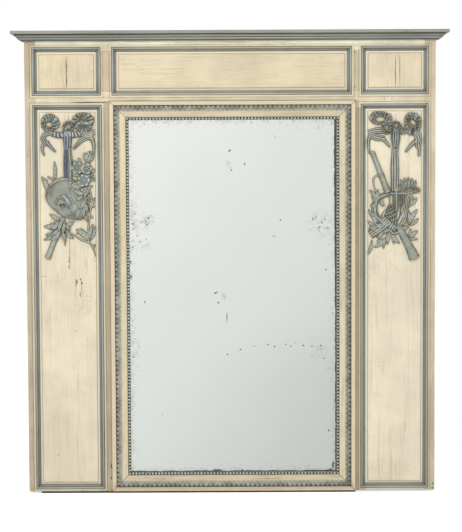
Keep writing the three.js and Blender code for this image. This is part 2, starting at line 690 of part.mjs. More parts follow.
// Right: a bow whose ribbon holds a lyre, a flute, a horn and sprays
const right = carver(openings.side_right, ORNAMENT_FIELD_RIGHT);
addCarved("ribbon_right", [
  ...[
    [-52, -27, 40, 24, -51, -33, 12, 7],
    [-29, -62, 17, 27, -30, -64, 5, 13],
    [5, -55, 18, 18, 5, -54, 8, 8],
    [66, -48, 31, 42, 67, -44, 7, 9],
  ].map(right.loop),
  right.disc(26, -74, 14, 14, RELIEF_HIGH),
  right.strip([[20, -72], [50, -78]], 14, RELIEF_MID),
  right.strip([[-24, -76], [-60, -72], [-92, -80]], 16, RELIEF_LOW),
  right.strip([[-86, -82], [-60, -102], [-38, -100], [-20, -130]], 13, RELIEF_LOW),
  right.strip([[-90, -82], [-93, -120], [-92, -152]], 11, RELIEF_LOW),
  right.strip([[76, -80], [86, -104], [86, -132]], 20, RELIEF_LOW),
  right.strip([[82, -116], [42, -150]], 10, RELIEF_LOW),
  right.strip([[88, -120], [88, -164]], 11, RELIEF_LOW),
  right.strip([[3, -62], [3, -128]], 34, RELIEF_HIGH),
  right.disc(3, -136, 11, 12, RIBBON_END),
  right.strip([[1, -136], [1, -288]], 30, RELIEF_HIGH),
  right.strip([[6, -278], [6, -363]], 15, RIBBON_END, RELIEF_MID + FIT),
]);
addCarved("trophy_right", [
  right.rod([-79, -156], [-27, -298], 7, 9),
  right.strip([[-40, -300], [-24, -302], [50, -302]], 11, RELIEF_MID),
  right.strip([[-24, -304], [-62, -320], [-76, -356], [-62, -395], [-26, -412]], 15, RELIEF_MID),
  right.strip([[78, -290], [56, -304], [46, -345], [38, -390], [10, -428]], 16, RELIEF_MID),
  right.disc(83, -291, 11, 10, RELIEF_HIGH),
  right.mound([[-44, -360], [-38, -350], [42, -350], [40, -396], [14, -420], [-30, -418]], RELIEF_LOW / 2),
  right.strip([[-44, -392], [0, -430]], 22, RELIEF_MID),
  right.disc(46, -262, 29, 16, RELIEF_HIGH),
  right.strip([[50, -266], [58, -304]], 14, RELIEF_MID),
  right.rod([-76, -420], [-48, -458], 15, 15),
  right.rod([14, -420], [72, -536], 13, 16),
  right.strip([[-48, -232], [-62, -234], [-76, -250], [-72, -298], [-70, -330]], 5, RELIEF_LOW),
  right.strip([[-40, -402], [-60, -438], [-80, -482]], 9, RELIEF_LOW),
  ...[
    [-68, -332, -87, -287, 18], [-70, -330, -57, -288, 14], [-68, -404, -92, -361, 20],
    [-72, -466, -24, -501, 20], [-78, -476, -92, -526, 16], [-44, -444, 20, -487, 24],
    [50, -354, 81, -317, 22], [34, -424, 84, -360, 30], [36, -434, 86, -464, 18],
  ].map((q) => right.leaf(q)),
]);

// ---------------------------------------------------------------- back and foot
const battenLeft = bodyLeft + BATTEN_END;
const battenRight = bodyRight - BATTEN_END;
const upperBattenZ = sight.z1 - BATTEN_LAP;
const lowerBattenZ = sight.z0 + BATTEN_LAP - BATTEN_WIDTH;
for (const [name, z] of [["upper", upperBattenZ], ["lower", lowerBattenZ]]) {
  const r = rect(battenLeft, battenRight, z, z + BATTEN_WIDTH);
  add(`batten_${name}`, block(r, 0, backP - FIT), bareWood);
}
const soleP = backP + SOLE_SETBACK;
const soleRect = rect(bodyLeft + SOLE_LEFT_END, frameRight, 0, baseZ - FIT);
add("sole_strip", block(soleRect, soleP, soleP + SOLE_DEPTH), bareWood);

// ---------------------------------------------------------------- hangers
const eyeRadius = RING_WIRE + EYE_CLEARANCE;
const eyeOuter = eyeRadius + STRAP_THICKNESS;
const eyeP = backP - FIT - eyeOuter;
const hangerZ = upperBattenZ - HANGER_DROP;

// Strap and rolled eye: drawn in [depth, height] from the eye's centre, extruded sideways
function strapGeometry(x) {
  const tuck = -Math.acos(eyeRadius / eyeOuter);
  const shape = new THREE.Shape();
  shape.moveTo(eyeRadius, -STRAP_LENGTH);
  shape.lineTo(eyeOuter, -STRAP_LENGTH);
  shape.lineTo(eyeOuter, 0);
  shape.absarc(0, 0, eyeOuter, 0, 2 * Math.PI + tuck, false);
  const bore = new THREE.Path();
  bore.absarc(0, 0, eyeRadius, 0, 2 * Math.PI, true);
  shape.holes.push(bore);
  const strap = new THREE.ExtrudeGeometry(shape, {
    depth: STRAP_WIDTH,
    bevelEnabled: false,
    curveSegments: 16,
  });
  const forward = new THREE.Vector3(0, -1, 0);
  const up = new THREE.Vector3(0, 0, 1);
  const across = new THREE.Vector3().crossVectors(forward, up);
  strap.applyMatrix4(new THREE.Matrix4().makeBasis(forward, up, across));
  return toGeometry(toSolid(strap.translate(x + STRAP_WIDTH / 2, yAt(eyeP), hangerZ)));
}

// A D-shaped ring: straight bar in the eye, round bow hanging below it
function ringGeometry(x) {
  const flat = RING_HALF_WIDTH - RING_CORNER;
  const path = [
    [0, 0],
    ...arc(flat, -RING_CORNER, RING_CORNER, RING_CORNER, 90, 0, 3),
    ...arc(0, -RING_CORNER, RING_HALF_WIDTH, RING_HALF_WIDTH, 0, -180, 16).slice(1, -1),
    ...arc(-flat, -RING_CORNER, RING_CORNER, RING_CORNER, 180, 90, 3),
  ];
  const rings = path.map(([px, pz], i) => {
    const [ax, az] = path[(i + path.length - 1) % path.length];
    const [bx, bz] = path[(i + 1) % path.length];
    const inwards = new THREE.Vector2(bz - az, ax - bx).normalize();
    return arc(0, 0, RING_WIRE, RING_WIRE, 0, 360, RING_SIDES)
      .slice(0, RING_SIDES)
      .map(([n, b]) => new THREE.Vector3(
        x + px + n * inwards.x, yAt(eyeP) + b, hangerZ + pz + n * inwards.y,
      ));
  });
  return loft(rings);
}

const strapX = { left: (bodyLeft + stileLeftInner) / 2, right: (bodyRight + stileRightInner) / 2 };
for (const [side, x] of Object.entries(strapX)) {
  add(`hanger_strap_${side}`, strapGeometry(x), iron);
  add(`hanger_ring_${side}`, ringGeometry(x), iron);
}

export default group;
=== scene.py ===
"""Looks of a painted trumeau mirror: cream wood, blue mouldings, carved trophies, old glass.

Metres, +Z up, front towards -Y. Sizes in millimetres are turned to metres with MM. Marks that
show in the photo are placed by its pixels, counted from its top left corner.
"""
import math
from functools import partial

import bmesh
import bpy
import numpy as np
from mathutils import Matrix, Vector


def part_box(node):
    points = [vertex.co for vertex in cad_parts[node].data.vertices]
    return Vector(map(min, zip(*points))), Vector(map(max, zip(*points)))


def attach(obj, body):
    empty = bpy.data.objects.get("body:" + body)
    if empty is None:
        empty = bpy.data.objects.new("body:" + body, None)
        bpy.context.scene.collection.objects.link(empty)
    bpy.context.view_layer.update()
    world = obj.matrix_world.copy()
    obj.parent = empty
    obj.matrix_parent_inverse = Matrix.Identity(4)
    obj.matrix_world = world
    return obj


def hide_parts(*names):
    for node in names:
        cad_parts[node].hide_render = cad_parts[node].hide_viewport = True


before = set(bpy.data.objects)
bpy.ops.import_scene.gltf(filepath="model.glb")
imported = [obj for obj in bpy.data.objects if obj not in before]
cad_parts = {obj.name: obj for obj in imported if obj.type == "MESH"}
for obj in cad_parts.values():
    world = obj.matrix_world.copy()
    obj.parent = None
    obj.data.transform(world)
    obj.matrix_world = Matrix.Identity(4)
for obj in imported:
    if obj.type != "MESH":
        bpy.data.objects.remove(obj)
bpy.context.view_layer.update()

MM = 0.001

# ---------------------------------------------------------------- sizes shared with the frame, mm
PANEL_TONGUE = 6  # a panel's edge lies this far inside its opening
MOULDING_WIDTH = 17
FIELD_INSET = 25  # opening's edge to the field of its panel
FIELD_SETBACK = 5  # field behind the face of the stiles
STEP_WIDTH = 8  # sunk margin round each opening
PANEL_THICKNESS = 6
CARVING_GAP = 0.3  # carving in front of the field
DRAWN_WIDTH = {"side_left": 204, "side_right": 197}  # field widths that the carvings are drawn for
MITRE_GAP = 0.2 * MM  # each mitred end stops this far short
PLATE_LAP = 11  # edge of the mirror plate that the frame hides
SIDES = ("top", "bottom", "left", "right")
UPRIGHT = ("left", "right")

face_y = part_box("outer_stile_left")[0].y
field_y = face_y + FIELD_SETBACK * MM
glass_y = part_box("mirror_plate")[0].y
back_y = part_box("outer_stile_left")[1].y


def rect_of(node, grow=0.0):
    """(x0, x1, z0, z1) of a node's front, grown by millimetres on each side."""
    low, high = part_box(node)
    by = grow * MM
    return (low.x - by, high.x + by, low.z - by, high.z + by)


PANELS = ("upper_left", "frieze", "upper_right", "side_left", "side_right")
openings = {name: rect_of(f"{name}_panel", PANEL_TONGUE) for name in PANELS}
frame_x0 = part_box("mirror_frame_left")[0].x
frame_x1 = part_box("mirror_frame_right")[1].x
frame_z0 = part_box("mirror_frame_bottom")[0].z
frame_z1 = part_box("mirror_frame_top")[1].z
frame_rect = (frame_x0, frame_x1, frame_z0, frame_z1)

# ---------------------------------------------------------------- camera
PHOTO_WIDTH = 462
PHOTO_HEIGHT = 532
SENSOR = 36.0
LENS = 112.22
CAMERA_PLACE = Vector((0.0004, -6.0692, 1.2318))
CAMERA_TILT = math.radians(3.701)  # looking down
CAMERA_ROLL = math.radians(-0.261)


def camera_axes():
    """The camera's right, up and backward directions."""
    ahead = Vector((0, math.cos(CAMERA_TILT), -math.sin(CAMERA_TILT)))
    right = Vector((1, 0, 0))
    up = right.cross(ahead)
    turned_right = right * math.cos(CAMERA_ROLL) + up * math.sin(CAMERA_ROLL)
    turned_up = up * math.cos(CAMERA_ROLL) - right * math.sin(CAMERA_ROLL)
    return turned_right, turned_up, -ahead


def make_camera():
    data = bpy.data.cameras.new("camera")
    data.lens = LENS
    data.sensor_width = SENSOR
    data.clip_end = 100
    camera = bpy.data.objects.new("camera", data)
    bpy.context.scene.collection.objects.link(camera)
    turn = Matrix(camera_axes()).transposed().to_4x4()
    camera.matrix_world = Matrix.Translation(CAMERA_PLACE) @ turn
    bpy.context.scene.camera = camera


def photo_point(px, py, y):
    """(x, z) where a photo pixel's line of sight meets the upright plane at y."""
    right, up, backward = camera_axes()
    focal = LENS / SENSOR * PHOTO_HEIGHT
    ray = right * (px - PHOTO_WIDTH / 2) + up * (PHOTO_HEIGHT / 2 - py) - backward * focal
    hit = CAMERA_PLACE + ray * ((y - CAMERA_PLACE.y) / ray.y)
    return hit.x, hit.z


# ---------------------------------------------------------------- materials
def rgb(red, green, blue):
    """A display colour, 0 to 255, as the linear colour that a shader takes."""
    channels = []
    for value in (red, green, blue):
        share = value / 255
        if share <= 0.04045:
            channels.append(share / 12.92)
        else:
            channels.append(((share + 0.055) / 1.055) ** 2.4)
    return (*channels, 1.0)


BARE_WOOD = rgb(166, 138, 104)
# Dark brown of grime in grain and cracks, also laid as painted shade in corners and at steps
GRIME_AND_SHADE = rgb(92, 78, 58)
FOOT_GRIME = rgb(132, 122, 98)
SOOT = rgb(52, 50, 42)
WHITE = (1.0, 1.0, 1.0, 1.0)


class Wire:
    """A node's output. Sums with it add math nodes, and give a new wire."""

    def __init__(self, shader, socket):
        self.shader = shader
        self.socket = socket

    def __add__(self, other):
        return self.shader.math("ADD", self, other)

    def __radd__(self, other):
        return self.shader.math("ADD", other, self)

    def __sub__(self, other):
        return self.shader.math("SUBTRACT", self, other)

    def __rsub__(self, other):
        return self.shader.math("SUBTRACT", other, self)

    def __mul__(self, other):
        return self.shader.math("MULTIPLY", self, other)


class Shader:
    """A node material written as expressions: most calls add nodes, and give the last one's wire.
    Its colour is built up by coats."""

    def __init__(self, name, **surface):
        self.material = bpy.data.materials.new(name)
        self.material.use_nodes = True
        self.tree = self.material.node_tree
        self.tree.nodes.clear()
        self.colour = None
        self.surface = self.node("BsdfPrincipled", surface)
        self.node("OutputMaterial", {"Surface": Wire(self, self.surface.outputs[0])})
        self.place = self.add("TexCoord", {}, "Object")
        self.x, _, self.z = self.split(self.place)

    def node(self, kind, inputs, **settings):
        node = self.tree.nodes.new(f"ShaderNode{kind}")
        for name, value in settings.items():
            setattr(node, name, value)
        for socket, value in inputs.items():
            self.feed(node.inputs[socket], value)
        return node

    def add(self, kind, inputs, output=0, **settings):
        """Adds a node, and gives one of its outputs."""
        return Wire(self, self.node(kind, inputs, **settings).outputs[output])

    def feed(self, socket, value):
        if isinstance(value, Wire):
            self.tree.links.new(value.socket, socket)
        else:
            socket.default_value = value

    def math(self, operation, *values):
        return self.add("Math", dict(enumerate(values)), operation=operation)

    def vector(self, operation, *values, output=0):
        return self.add("VectorMath", dict(enumerate(values)), output, operation=operation)

    def split(self, vector):
        """The x, y and z of a vector."""
        return [Wire(self, part) for part in self.node("SeparateXYZ", {0: vector}).outputs]

    def mix(self, share, a, b):
        """Colour a, with a share of colour b."""
        return self.add("Mix", {0: share, 6: a, 7: b}, 2, data_type="RGBA")

    def coat(self, share, tone):
        """Lays a share of another tone over the colour so far."""
        self.colour = self.mix(share, self.colour, tone)

    def ramp(self, value, low, high, start=0.0, end=1.0, kind="LINEAR"):
        """`start` at low and `end` at high, and no more beyond them. Low may be above high."""
        inputs = {"Value": value, "From Min": low, "From Max": high, "To Min": start, "To Max": end}
        return self.add("MapRange", inputs, interpolation_type=kind)

    def smooth(self, value, low, high, to=1.0):
        """0 at low and `to` at high, with a soft start and end."""
        return self.ramp(value, low, high, end=to, kind="SMOOTHSTEP")

    def noise(self, per_metre, seed, detail=3, stretch=(1, 1, 1), place=None):
        """Noise from 0 to 1, with so many patches to the metre along an axis of stretch 1."""
        where = self.place if place is None else place
        moved = self.add("Mapping", {0: where, 1: (seed, seed * 0.7, seed), 3: stretch})
        return self.add("TexNoise", {"Vector": moved, "Scale": per_metre, "Detail": detail})

    def cell_edges(self, per_metre, stretch, place):
        """Distance to the nearest cell edge, for nets of cracks."""
        inputs = {"Vector": self.add("Mapping", {0: place, 3: stretch}), "Scale": per_metre}
        return self.add("TexVoronoi", inputs, feature="DISTANCE_TO_EDGE")

    def bent(self, per_metre, by):
        """The place moved about by noise, so that lines drawn with it wander."""
        wander = self.add("TexNoise", {"Vector": self.place, "Scale": per_metre, "Detail": 2.0}, 1)
        centred = self.vector("SUBTRACT", wander, (0.5, 0.5, 0.5))
        scaled = self.add("VectorMath", {0: centred, "Scale": by}, operation="SCALE")
        return self.vector("ADD", self.place, scaled)

    def outside(self, rect):
        """Distance from a rectangle in the XZ plane, below 0 inside it."""
        x0, x1, z0, z1 = rect
        sides = []
        for value, low, high in ((self.x, x0, x1), (self.z, z0, z1)):
            sides.append(self.math("ABSOLUTE", value - (low + high) / 2) - (high - low) / 2)
        return self.math("MAXIMUM", *sides)

    def line(self, distance, at, width):
        """1 where a distance is near `at`, falling to 0 a width away."""
        return self.smooth(self.math("ABSOLUTE", distance - at), width, width * 0.3)

    def spots(self, ovals, softness=0.5):
        """1 inside any of the ovals (x, z, x radius, z radius), in metres, with ragged edges."""
        ragged = self.bent(180, 6 * MM)
        covered = None
        for x, z, radius_x, radius_z in ovals:
            offset = (-x / radius_x, 0, -z / radius_z)
            shape = {0: ragged, 1: offset, 3: (1 / radius_x, 0, 1 / radius_z)}
            length = self.vector("LENGTH", self.add("Mapping", shape), output=1)
            one = self.smooth(length, 1.0, softness)
            covered = one if covered is None else self.math("MAXIMUM", covered, one)
        return covered

    def attribute(self, name):
        return self.add("Attribute", {}, "Fac", attribute_name=name)

    def crevice(self, reach):
        """1 in the open, less in corners within reach."""
        return self.add("AmbientOcclusion", {"Distance": reach}, "AO", samples=6)

    def edges(self, radius):
        """1 on sharp outside or inside edges, 0 on open faces."""
        rounded = self.add("Bevel", {"Radius": radius}, samples=4)
        normal = self.add("NewGeometry", {}, "Normal")
        return self.smooth(self.vector("DOT_PRODUCT", rounded, normal, output=1), 0.985, 0.9)

    def facing(self, axis, low, high):
        """1 where the surface faces along an axis, 0, 1 or 2."""
        return self.smooth(self.split(self.add("NewGeometry", {}, "Normal"))[axis], low, high)

    def finish(self, roughness, height, bump=0.0004):
        """The material, in its colour so far, with small relief from a height."""
        raised = self.add("Bump", {"Strength": 1.0, "Distance": bump, "Height": height})
        looks = {"Base Color": self.colour, "Roughness": roughness, "Normal": raised}
        for socket, value in looks.items():
            self.feed(self.surface.inputs[socket], value)
        return self.material


GRAIN = {"Z": (1.0, 1.0, 0.035), "X": (0.035, 1.0, 1.0), "Y": (1.0, 0.035, 1.0)}


def shaded(colour, factor):
    return (*[min(1.0, channel * factor) for channel in colour[:3]], 1.0)


def bare_wood_colour(shader, grain, light=BARE_WOOD):
    """Old softwood: growth bands along the grain, darker late wood and stains."""
    bands = shader.noise(70, 2.3, stretch=GRAIN[grain])
    fine = shader.noise(420, 5.1, detail=2, stretch=GRAIN[grain])
    stain = shader.noise(7, 8)
    wood = shader.mix(shader.smooth(bands, 0.38, 0.66), light, shaded(light, 0.72))
    wood = shader.mix(shader.smooth(fine, 0.5, 0.72, 0.45), wood, shaded(light, 0.5))
    return shader.mix(shader.smooth(stain, 0.45, 0.75, 0.5), wood, shaded(light, 0.6))


def painted_wood(name, colour, grain, extra, corner_shade_and_dirt=0.8, worn=0.5, crazing=0.35, streaky=0.3):
    """Old oil paint on wood: mottled, streaked with the grain, crazed, darker in its corners with
    grime and painted shade, and rubbed at its edges. Its unpainted back is bare. `extra` lays a
    piece's own coats on it."""
    shader = Shader(name)
    stretch = GRAIN[grain]
    mottle = shader.smooth(shader.noise(5, 1), 0.3, 0.7)
    clouds = shader.noise(24, 3, detail=2)
    streaks = shader.noise(190, 4, stretch=stretch)
    wide_streaks = shader.noise(42, 6, detail=2, stretch=stretch)
    shader.colour = shader.mix(mottle, shaded(colour, 0.9), shaded(colour, 1.07))
    shader.coat(shader.smooth(clouds, 0.45, 0.8, 0.35), shaded(colour, 0.82))
    shader.coat(shader.smooth(wide_streaks, 0.5, 0.8, 0.35), shaded(colour, 0.8))
    shader.coat(shader.smooth(streaks, 0.56, 0.74) * streaky, GRIME_AND_SHADE)

    crack_stretch = tuple(1.0 if share == 1.0 else 0.12 for share in stretch)
    cracks = shader.cell_edges(75, crack_stretch, shader.bent(60, 12 * MM))
    cracks = shader.smooth(cracks, 0.03, 0.0)
    crack = cracks * shader.smooth(shader.noise(11, 9, detail=2), 0.45, 0.62)
    shader.coat(crack * crazing, GRIME_AND_SHADE)
    specks = shader.smooth(shader.noise(520, 11, detail=1), 0.7, 0.78)
    shader.coat(specks * 0.45, GRIME_AND_SHADE)

    extra(shader)
    low = shader.smooth(shader.z, 60 * MM, 2 * MM)
    shader.coat(low * shader.smooth(shader.noise(22, 35), 0.3, 0.6) * 0.15, FOOT_GRIME)
    # Painted shade, with grime, darkens the corners
    shader.coat(shader.smooth(shader.crevice(12 * MM), 0.8, 0.3) * corner_shade_and_dirt, GRIME_AND_SHADE)
    rub = shader.smooth(shader.noise(55, 13, stretch=stretch), 0.42, 0.62)
    shader.coat(shader.edges(1.4 * MM) * rub * worn, shaded(BARE_WOOD, 0.9))
    shader.coat(shader.facing(1, 0.4, 0.7), bare_wood_colour(shader, grain))

    roughness = shader.ramp(shader.noise(30, 15), 0.3, 0.7, 0.5, 0.72)
    return shader.finish(roughness, streaks * 0.6 - crack - specks * 0.6)


def around_openings(shader):
    """Distance from the nearest panel opening, below 0 inside one."""
    nearest = None
    for rect in openings.values():
        distance = shader.outside(rect)
        nearest = distance if nearest is None else shader.math("MINIMUM", nearest, distance)
    return nearest


def paint_margin(shader, tone):
    """A member round the openings: its sunk margin's tone, painted shade under the cornice on the
    top rail, and a brown line of grime and painted shade at the step.
    """
    distance = around_openings(shader)
    near = shader.smooth(distance, 34 * MM, 6 * MM)
    patina = shader.smooth(shader.noise(13, 33), 0.36, 0.6)
    shader.coat(near * patina * 0.3, rgb(168, 148, 112))
    margin = shader.smooth(distance, (STEP_WIDTH - 1) * MM, (STEP_WIDTH - 3.5) * MM)
    shader.coat(margin * 0.7, tone)
    # Brown line of grime and painted shade at the step
    shader.coat(shader.line(distance, STEP_WIDTH * MM, 1.8 * MM) * 0.3, GRIME_AND_SHADE)


def photo_ovals(marks, y, spread=1.0):
    """Marks (photo x, photo y, width and height in mm) as ovals in metres on the plane at y."""
    ovals = []
    for px, py, width, height in marks:
        x, z = photo_point(px, py, y)
        ovals.append((x, z, width / 2 * spread * MM, height / 2 * spread * MM))
    return ovals


# ---------------------------------------------------------------- mesh helpers
def new_object(name, points, faces, material, attributes=None, sharp=50):
    """A smooth-shaded mesh object that rides on the root body. Equal points are joined."""
    mesh = bpy.data.meshes.new(name)
    mesh.from_pydata([tuple(p) for p in points], [], faces)
    for key, values in (attributes or {}).items():
        layer = mesh.attributes.new(key, "FLOAT", "POINT")
        layer.data.foreach_set("value", np.asarray(values, np.float32))
    working = bmesh.new()
    working.from_mesh(mesh)
    bmesh.ops.remove_doubles(working, verts=working.verts, dist=2e-6)
    bmesh.ops.recalc_face_normals(working, faces=working.faces)
    working.to_mesh(mesh)
    working.free()
    mesh.materials.append(material)
    mesh.shade_smooth()
    mesh.set_sharp_from_angle(angle=math.radians(sharp))
    made = bpy.data.objects.new(name, mesh)
    bpy.context.scene.collection.objects.link(made)
    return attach(made, "root")


def grid_faces(rows, columns, start=0, wrap=False):
    """Quads of a grid of points numbered row by row, and closed across the columns with wrap."""
    faces = []
    spans = columns if wrap else columns - 1
    for row in range(rows - 1):
        for column in range(spans):
            nearer = (column + 1) % columns
            a = start + row * columns + column
            b = start + row * columns + nearer
            faces.append((a, b, b + columns, a + columns))
    return faces


def rim(rows, columns):
    """Indices round the edge of a grid."""
    first = list(range(columns))
    last = [row * columns + columns - 1 for row in range(1, rows)]
    bottom = [(rows - 1) * columns + column for column in range(columns - 2, -1, -1)]
    left = [row * columns for row in range(rows - 2, 0, -1)]
    return first + last + bottom + left


def ring_faces(loop, foot):
    """Quads that join a closed loop of points to as many that are numbered on from foot."""
    count = len(loop)
    pairs = [(k, (k + 1) % count) for k in range(count)]
    return [(loop[k], loop[j], foot + j, foot + k) for k, j in pairs]


def capped_rings(rings, segments, start=0):
    """Faces of rings of points with one last point at the top, and a flat foot."""
    last = start + (rings - 1) * segments
    faces = grid_faces(rings, segments, start, wrap=True)
    faces += [(last + k, last + (k + 1) % segments, last + segments) for k in range(segments)]
    faces.append(tuple(range(start + segments - 1, start - 1, -1)))
    return faces


def edge_distance(xs, zs, rect):
    """Distance in from the nearest side of a rectangle."""
    x0, x1, z0, z1 = rect
    return np.minimum(np.minimum(xs - x0, x1 - xs), np.minimum(zs - z0, z1 - zs))


def board(name, x_lines, z_lines, front_y, far_y, material, move_x=None):
    """A closed board with a modelled front. front_y(x, z) gives y, and far_y is its other side."""
    xs, zs = np.meshgrid(x_lines, z_lines, indexing="ij")
    ys = front_y(xs, zs)
    if move_x is not None:
        xs = xs + move_x(xs, zs)
    top = np.stack([xs, ys, zs], -1).reshape(-1, 3)
    rows, columns = xs.shape
    loop = rim(rows, columns)
    under = top[loop].copy()
    under[:, 1] = far_y
    faces = grid_faces(rows, columns)
    base = len(top)
    faces += ring_faces(loop, base)
    faces.append(tuple(range(base, base + len(loop))))
    return new_object(name, np.vstack([top, under]), faces, material, sharp=35)


def lines_between(low, high, step, extra=()):
    """Grid lines a step apart from low to high, with some of their own."""
    count = max(2, int(round((high - low) / step)) + 1)
    kept = [line for line in extra if low < line < high]
    even = np.linspace(low, high, count)
    clear = [v for v in even if all(abs(v - line) > 0.4 * MM for line in kept)]
    return np.array(sorted(set(clear) | set(kept)))


def waves(x, z, seed, length, height):
    """A gentle repeatable unevenness."""
    random = np.random.default_rng(seed)
    total = np.zeros_like(x)
    for _ in range(5):
        angle, phase = random.uniform(0, 2 * math.pi, 2)
        wave = length * random.uniform(0.6, 1.6)
        along = x * math.cos(angle) + z * math.sin(angle)
        total = total + np.sin(along * 2 * math.pi / wave + phase)
    return total * height / 5


# ---------------------------------------------------------------- members of the frame
MEMBER_COLOURS = {
    "outer_stile_left": (rgb(196, 183, 156), "Z"),
    "outer_stile_right": (rgb(214, 200, 172), "Z"),
    "inner_stile_left": (rgb(178, 165, 139), "Z"),
    "inner_stile_right": (rgb(165, 152, 126), "Z"),
    "top_rail": (rgb(252, 243, 219), "X"),
    "mid_rail": (rgb(222, 210, 182), "X"),
    "bottom_rail_left": (rgb(216, 207, 185), "X"),
    "bottom_rail_right": (rgb(207, 200, 182), "X"),
    "frieze_muntin_left": (rgb(196, 180, 150), "Z"),
    "frieze_muntin_right": (rgb(204, 188, 159), "Z"),
}
MARGIN_LIGHT = rgb(226, 216, 190)
# Tan for some sunk margins; on the top rail it is painted shade under the cornice
MARGIN_TAN_AND_SHADE = rgb(204, 189, 160)
# Heights in mm that a soft band of another tone runs between, its colour and strength
ZONES = {
    "outer_stile_left": [(1665, 1455, rgb(170, 150, 122), 0.5)],
    "outer_stile_right": [
        (1665, 1455, rgb(180, 160, 132), 0.35),
        (420, -60, rgb(128, 120, 100), 0.28),
    ],
}
# Darkening in the corners, grime and painted shade, of the members that have less of it
CORNER_SHADE_AND_DIRT = {"top_rail": 0.2, "outer_stile_left": 0.35, "outer_stile_right": 0.35}
STEP = STEP_WIDTH * MM
TAN = rgb(180, 167, 140)
MUNTIN_TAN = rgb(196, 180, 150)
# The inner stiles' tan carries on over the mid rail's ends, and the muntins' over the top rail
PATCHES = {
    "mid_rail": [
        ((openings["side_left"][1] + STEP, frame_x0, 0.0, frame_z1), TAN, 0.85),
        ((frame_x1, openings["side_right"][0] - STEP, 0.0, frame_z1), TAN, 0.85),
    ],
    "top_rail": [
        (
            (
                openings[left][1] + STEP,
                openings[right][0] - STEP,
                0.0,
                openings["frieze"][3] + STEP,
            ),
            MUNTIN_TAN,
            strength,
        )
        for left, right, strength in (("upper_left", "frieze", 0.7), ("frieze", "upper_right", 0.4))
    ],
}
TAN_MARGINS = ("top_rail", "outer_stile_right", "inner_stile_right", "frieze_muntin_left")
MARKS = {  # photo x, photo y, width and height in mm
    "outer_stile_right": [(432.7, 483.3, 9, 10), (432.6, 487.6, 10, 8), (434.2, 444, 3, 30)],
    "bottom_rail_left": [(82.4, 491.2, 9, 6)],
    "inner_stile_left": [(111.3, 466, 6, 26), (111.3, 478, 6, 18), (112.5, 489.8, 12, 6)],
    "frieze_muntin_right": [(354.5, 52, 8, 6), (354.5, 87, 8, 6)],
    "mid_rail": [
        (384.2, 98.4, 2, 16), (392, 98.4, 2, 16), (388, 96.2, 26, 1.6), (90.5, 102.4, 170, 5.6),
        (231, 101.7, 900, 4.2), (127, 101.9, 130, 5.6),
    ],
}
ZONE_FADE = 60  # mm
EDGE_SOFTNESS = 0.9 * MM


def weld(node):
    """Joins a CAD node's split corners."""
    modifier = node.modifiers.new("weld", "WELD")
    modifier.merge_threshold = 1e-5


def dress(name, material, softness=EDGE_SOFTNESS):
    """Gives a CAD node that is kept its own material, and edges rounded as handled wood's are."""
    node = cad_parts[name]
    node.data.materials.clear()
    node.data.materials.append(material)
    if softness:
        weld(node)
        bevel = node.modifiers.new("edges", "BEVEL")
        bevel.width = softness
        bevel.segments = 2
        bevel.limit_method = "ANGLE"
        bevel.angle_limit = math.radians(35)
        bevel.harden_normals = False


def dress_round(name, material, angle=28):
    """Gives a kept CAD node its own material, smooth over its curves but not at its corners."""
    dress(name, material, 0)
    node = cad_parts[name]
    weld(node)
    node.data.shade_smooth()
    node.data.set_sharp_from_angle(angle=math.radians(angle))


def paint_member(shader, node):
    """A member's own coats: its sunk margins, patches, soft bands of tone and dark marks."""
    paint_margin(shader, MARGIN_TAN_AND_SHADE if node in TAN_MARGINS else MARGIN_LIGHT)
    for rect, tone, strength in PATCHES.get(node, ()):
        shader.coat(shader.smooth(shader.outside(rect), 1 * MM, 0.0) * strength, tone)
    for high, low, tone, strength in ZONES.get(node, ()):
        above = shader.smooth(shader.z, low * MM, (low + ZONE_FADE) * MM)
        below = shader.smooth(shader.z, high * MM, (high - ZONE_FADE) * MM)
        shader.coat(above * below * strength, tone)
    if node in MARKS:
        shader.coat(shader.spots(photo_ovals(MARKS[node], face_y)) * 0.9, SOOT)


def dress_members():
    for node, (colour, grain) in MEMBER_COLOURS.items():
        coats = partial(paint_member, node=node)
        dress(node, painted_wood(f"paint_{node}", colour, grain, coats, corner_shade_and_dirt=CORNER_SHADE_AND_DIRT.get(node, 0.8)))


# ---------------------------------------------------------------- mouldings and cornice
MOULDING_BLUE = rgb(158, 162, 152)
MOULDING_WARM = rgb(178, 172, 150)  # the frieze's, browner than the others
MOULDING_DARK = rgb(78, 80, 70)
CROWN_BLUE = rgb(172, 178, 169)
# Painted highlight and painted shade for the crown's lines
CROWN_HIGHLIGHT = rgb(204, 210, 200)
CROWN_SHADE = rgb(92, 94, 82)
# Distance in from the opening and half width in mm, and strength, of dark lines: grime and painted
# shade
MOULDING_LINES = ((0.8, 1.8, 0.85), (9.6, 2.2, 0.5), (16.6, 1.4, 0.6))


def moulding_lines(shader):
    """Dark lines of grime and painted shade in the quirk and at the cove, and a painted highlight on
    the rubbed crest between them.
    """
    inside = around_openings(shader) * -1.0
    for at, width, strength in MOULDING_LINES:
        shader.coat(shader.line(inside, at * MM, width * MM) * strength, MOULDING_DARK)
    # Painted highlight along the moulding's crest
    shader.coat(shader.line(inside, 4.8 * MM, 2.6 * MM) * 0.55, rgb(190, 194, 184))


def dress_mouldings():
    upright, level, warm = (
        painted_wood(name, colour, grain, moulding_lines, corner_shade_and_dirt=0.45, worn=0.35)
        for name, colour, grain in (
            ("blue_upright", MOULDING_BLUE, "Z"),
            ("blue_level", MOULDING_BLUE, "X"),
            ("blue_frieze", MOULDING_WARM, "X"),
        )
    )
    for name in PANELS:
        for side in SIDES:
            material = upright if side in UPRIGHT else warm if name == "frieze" else level
            dress_round(f"{name}_moulding_{side}", material)


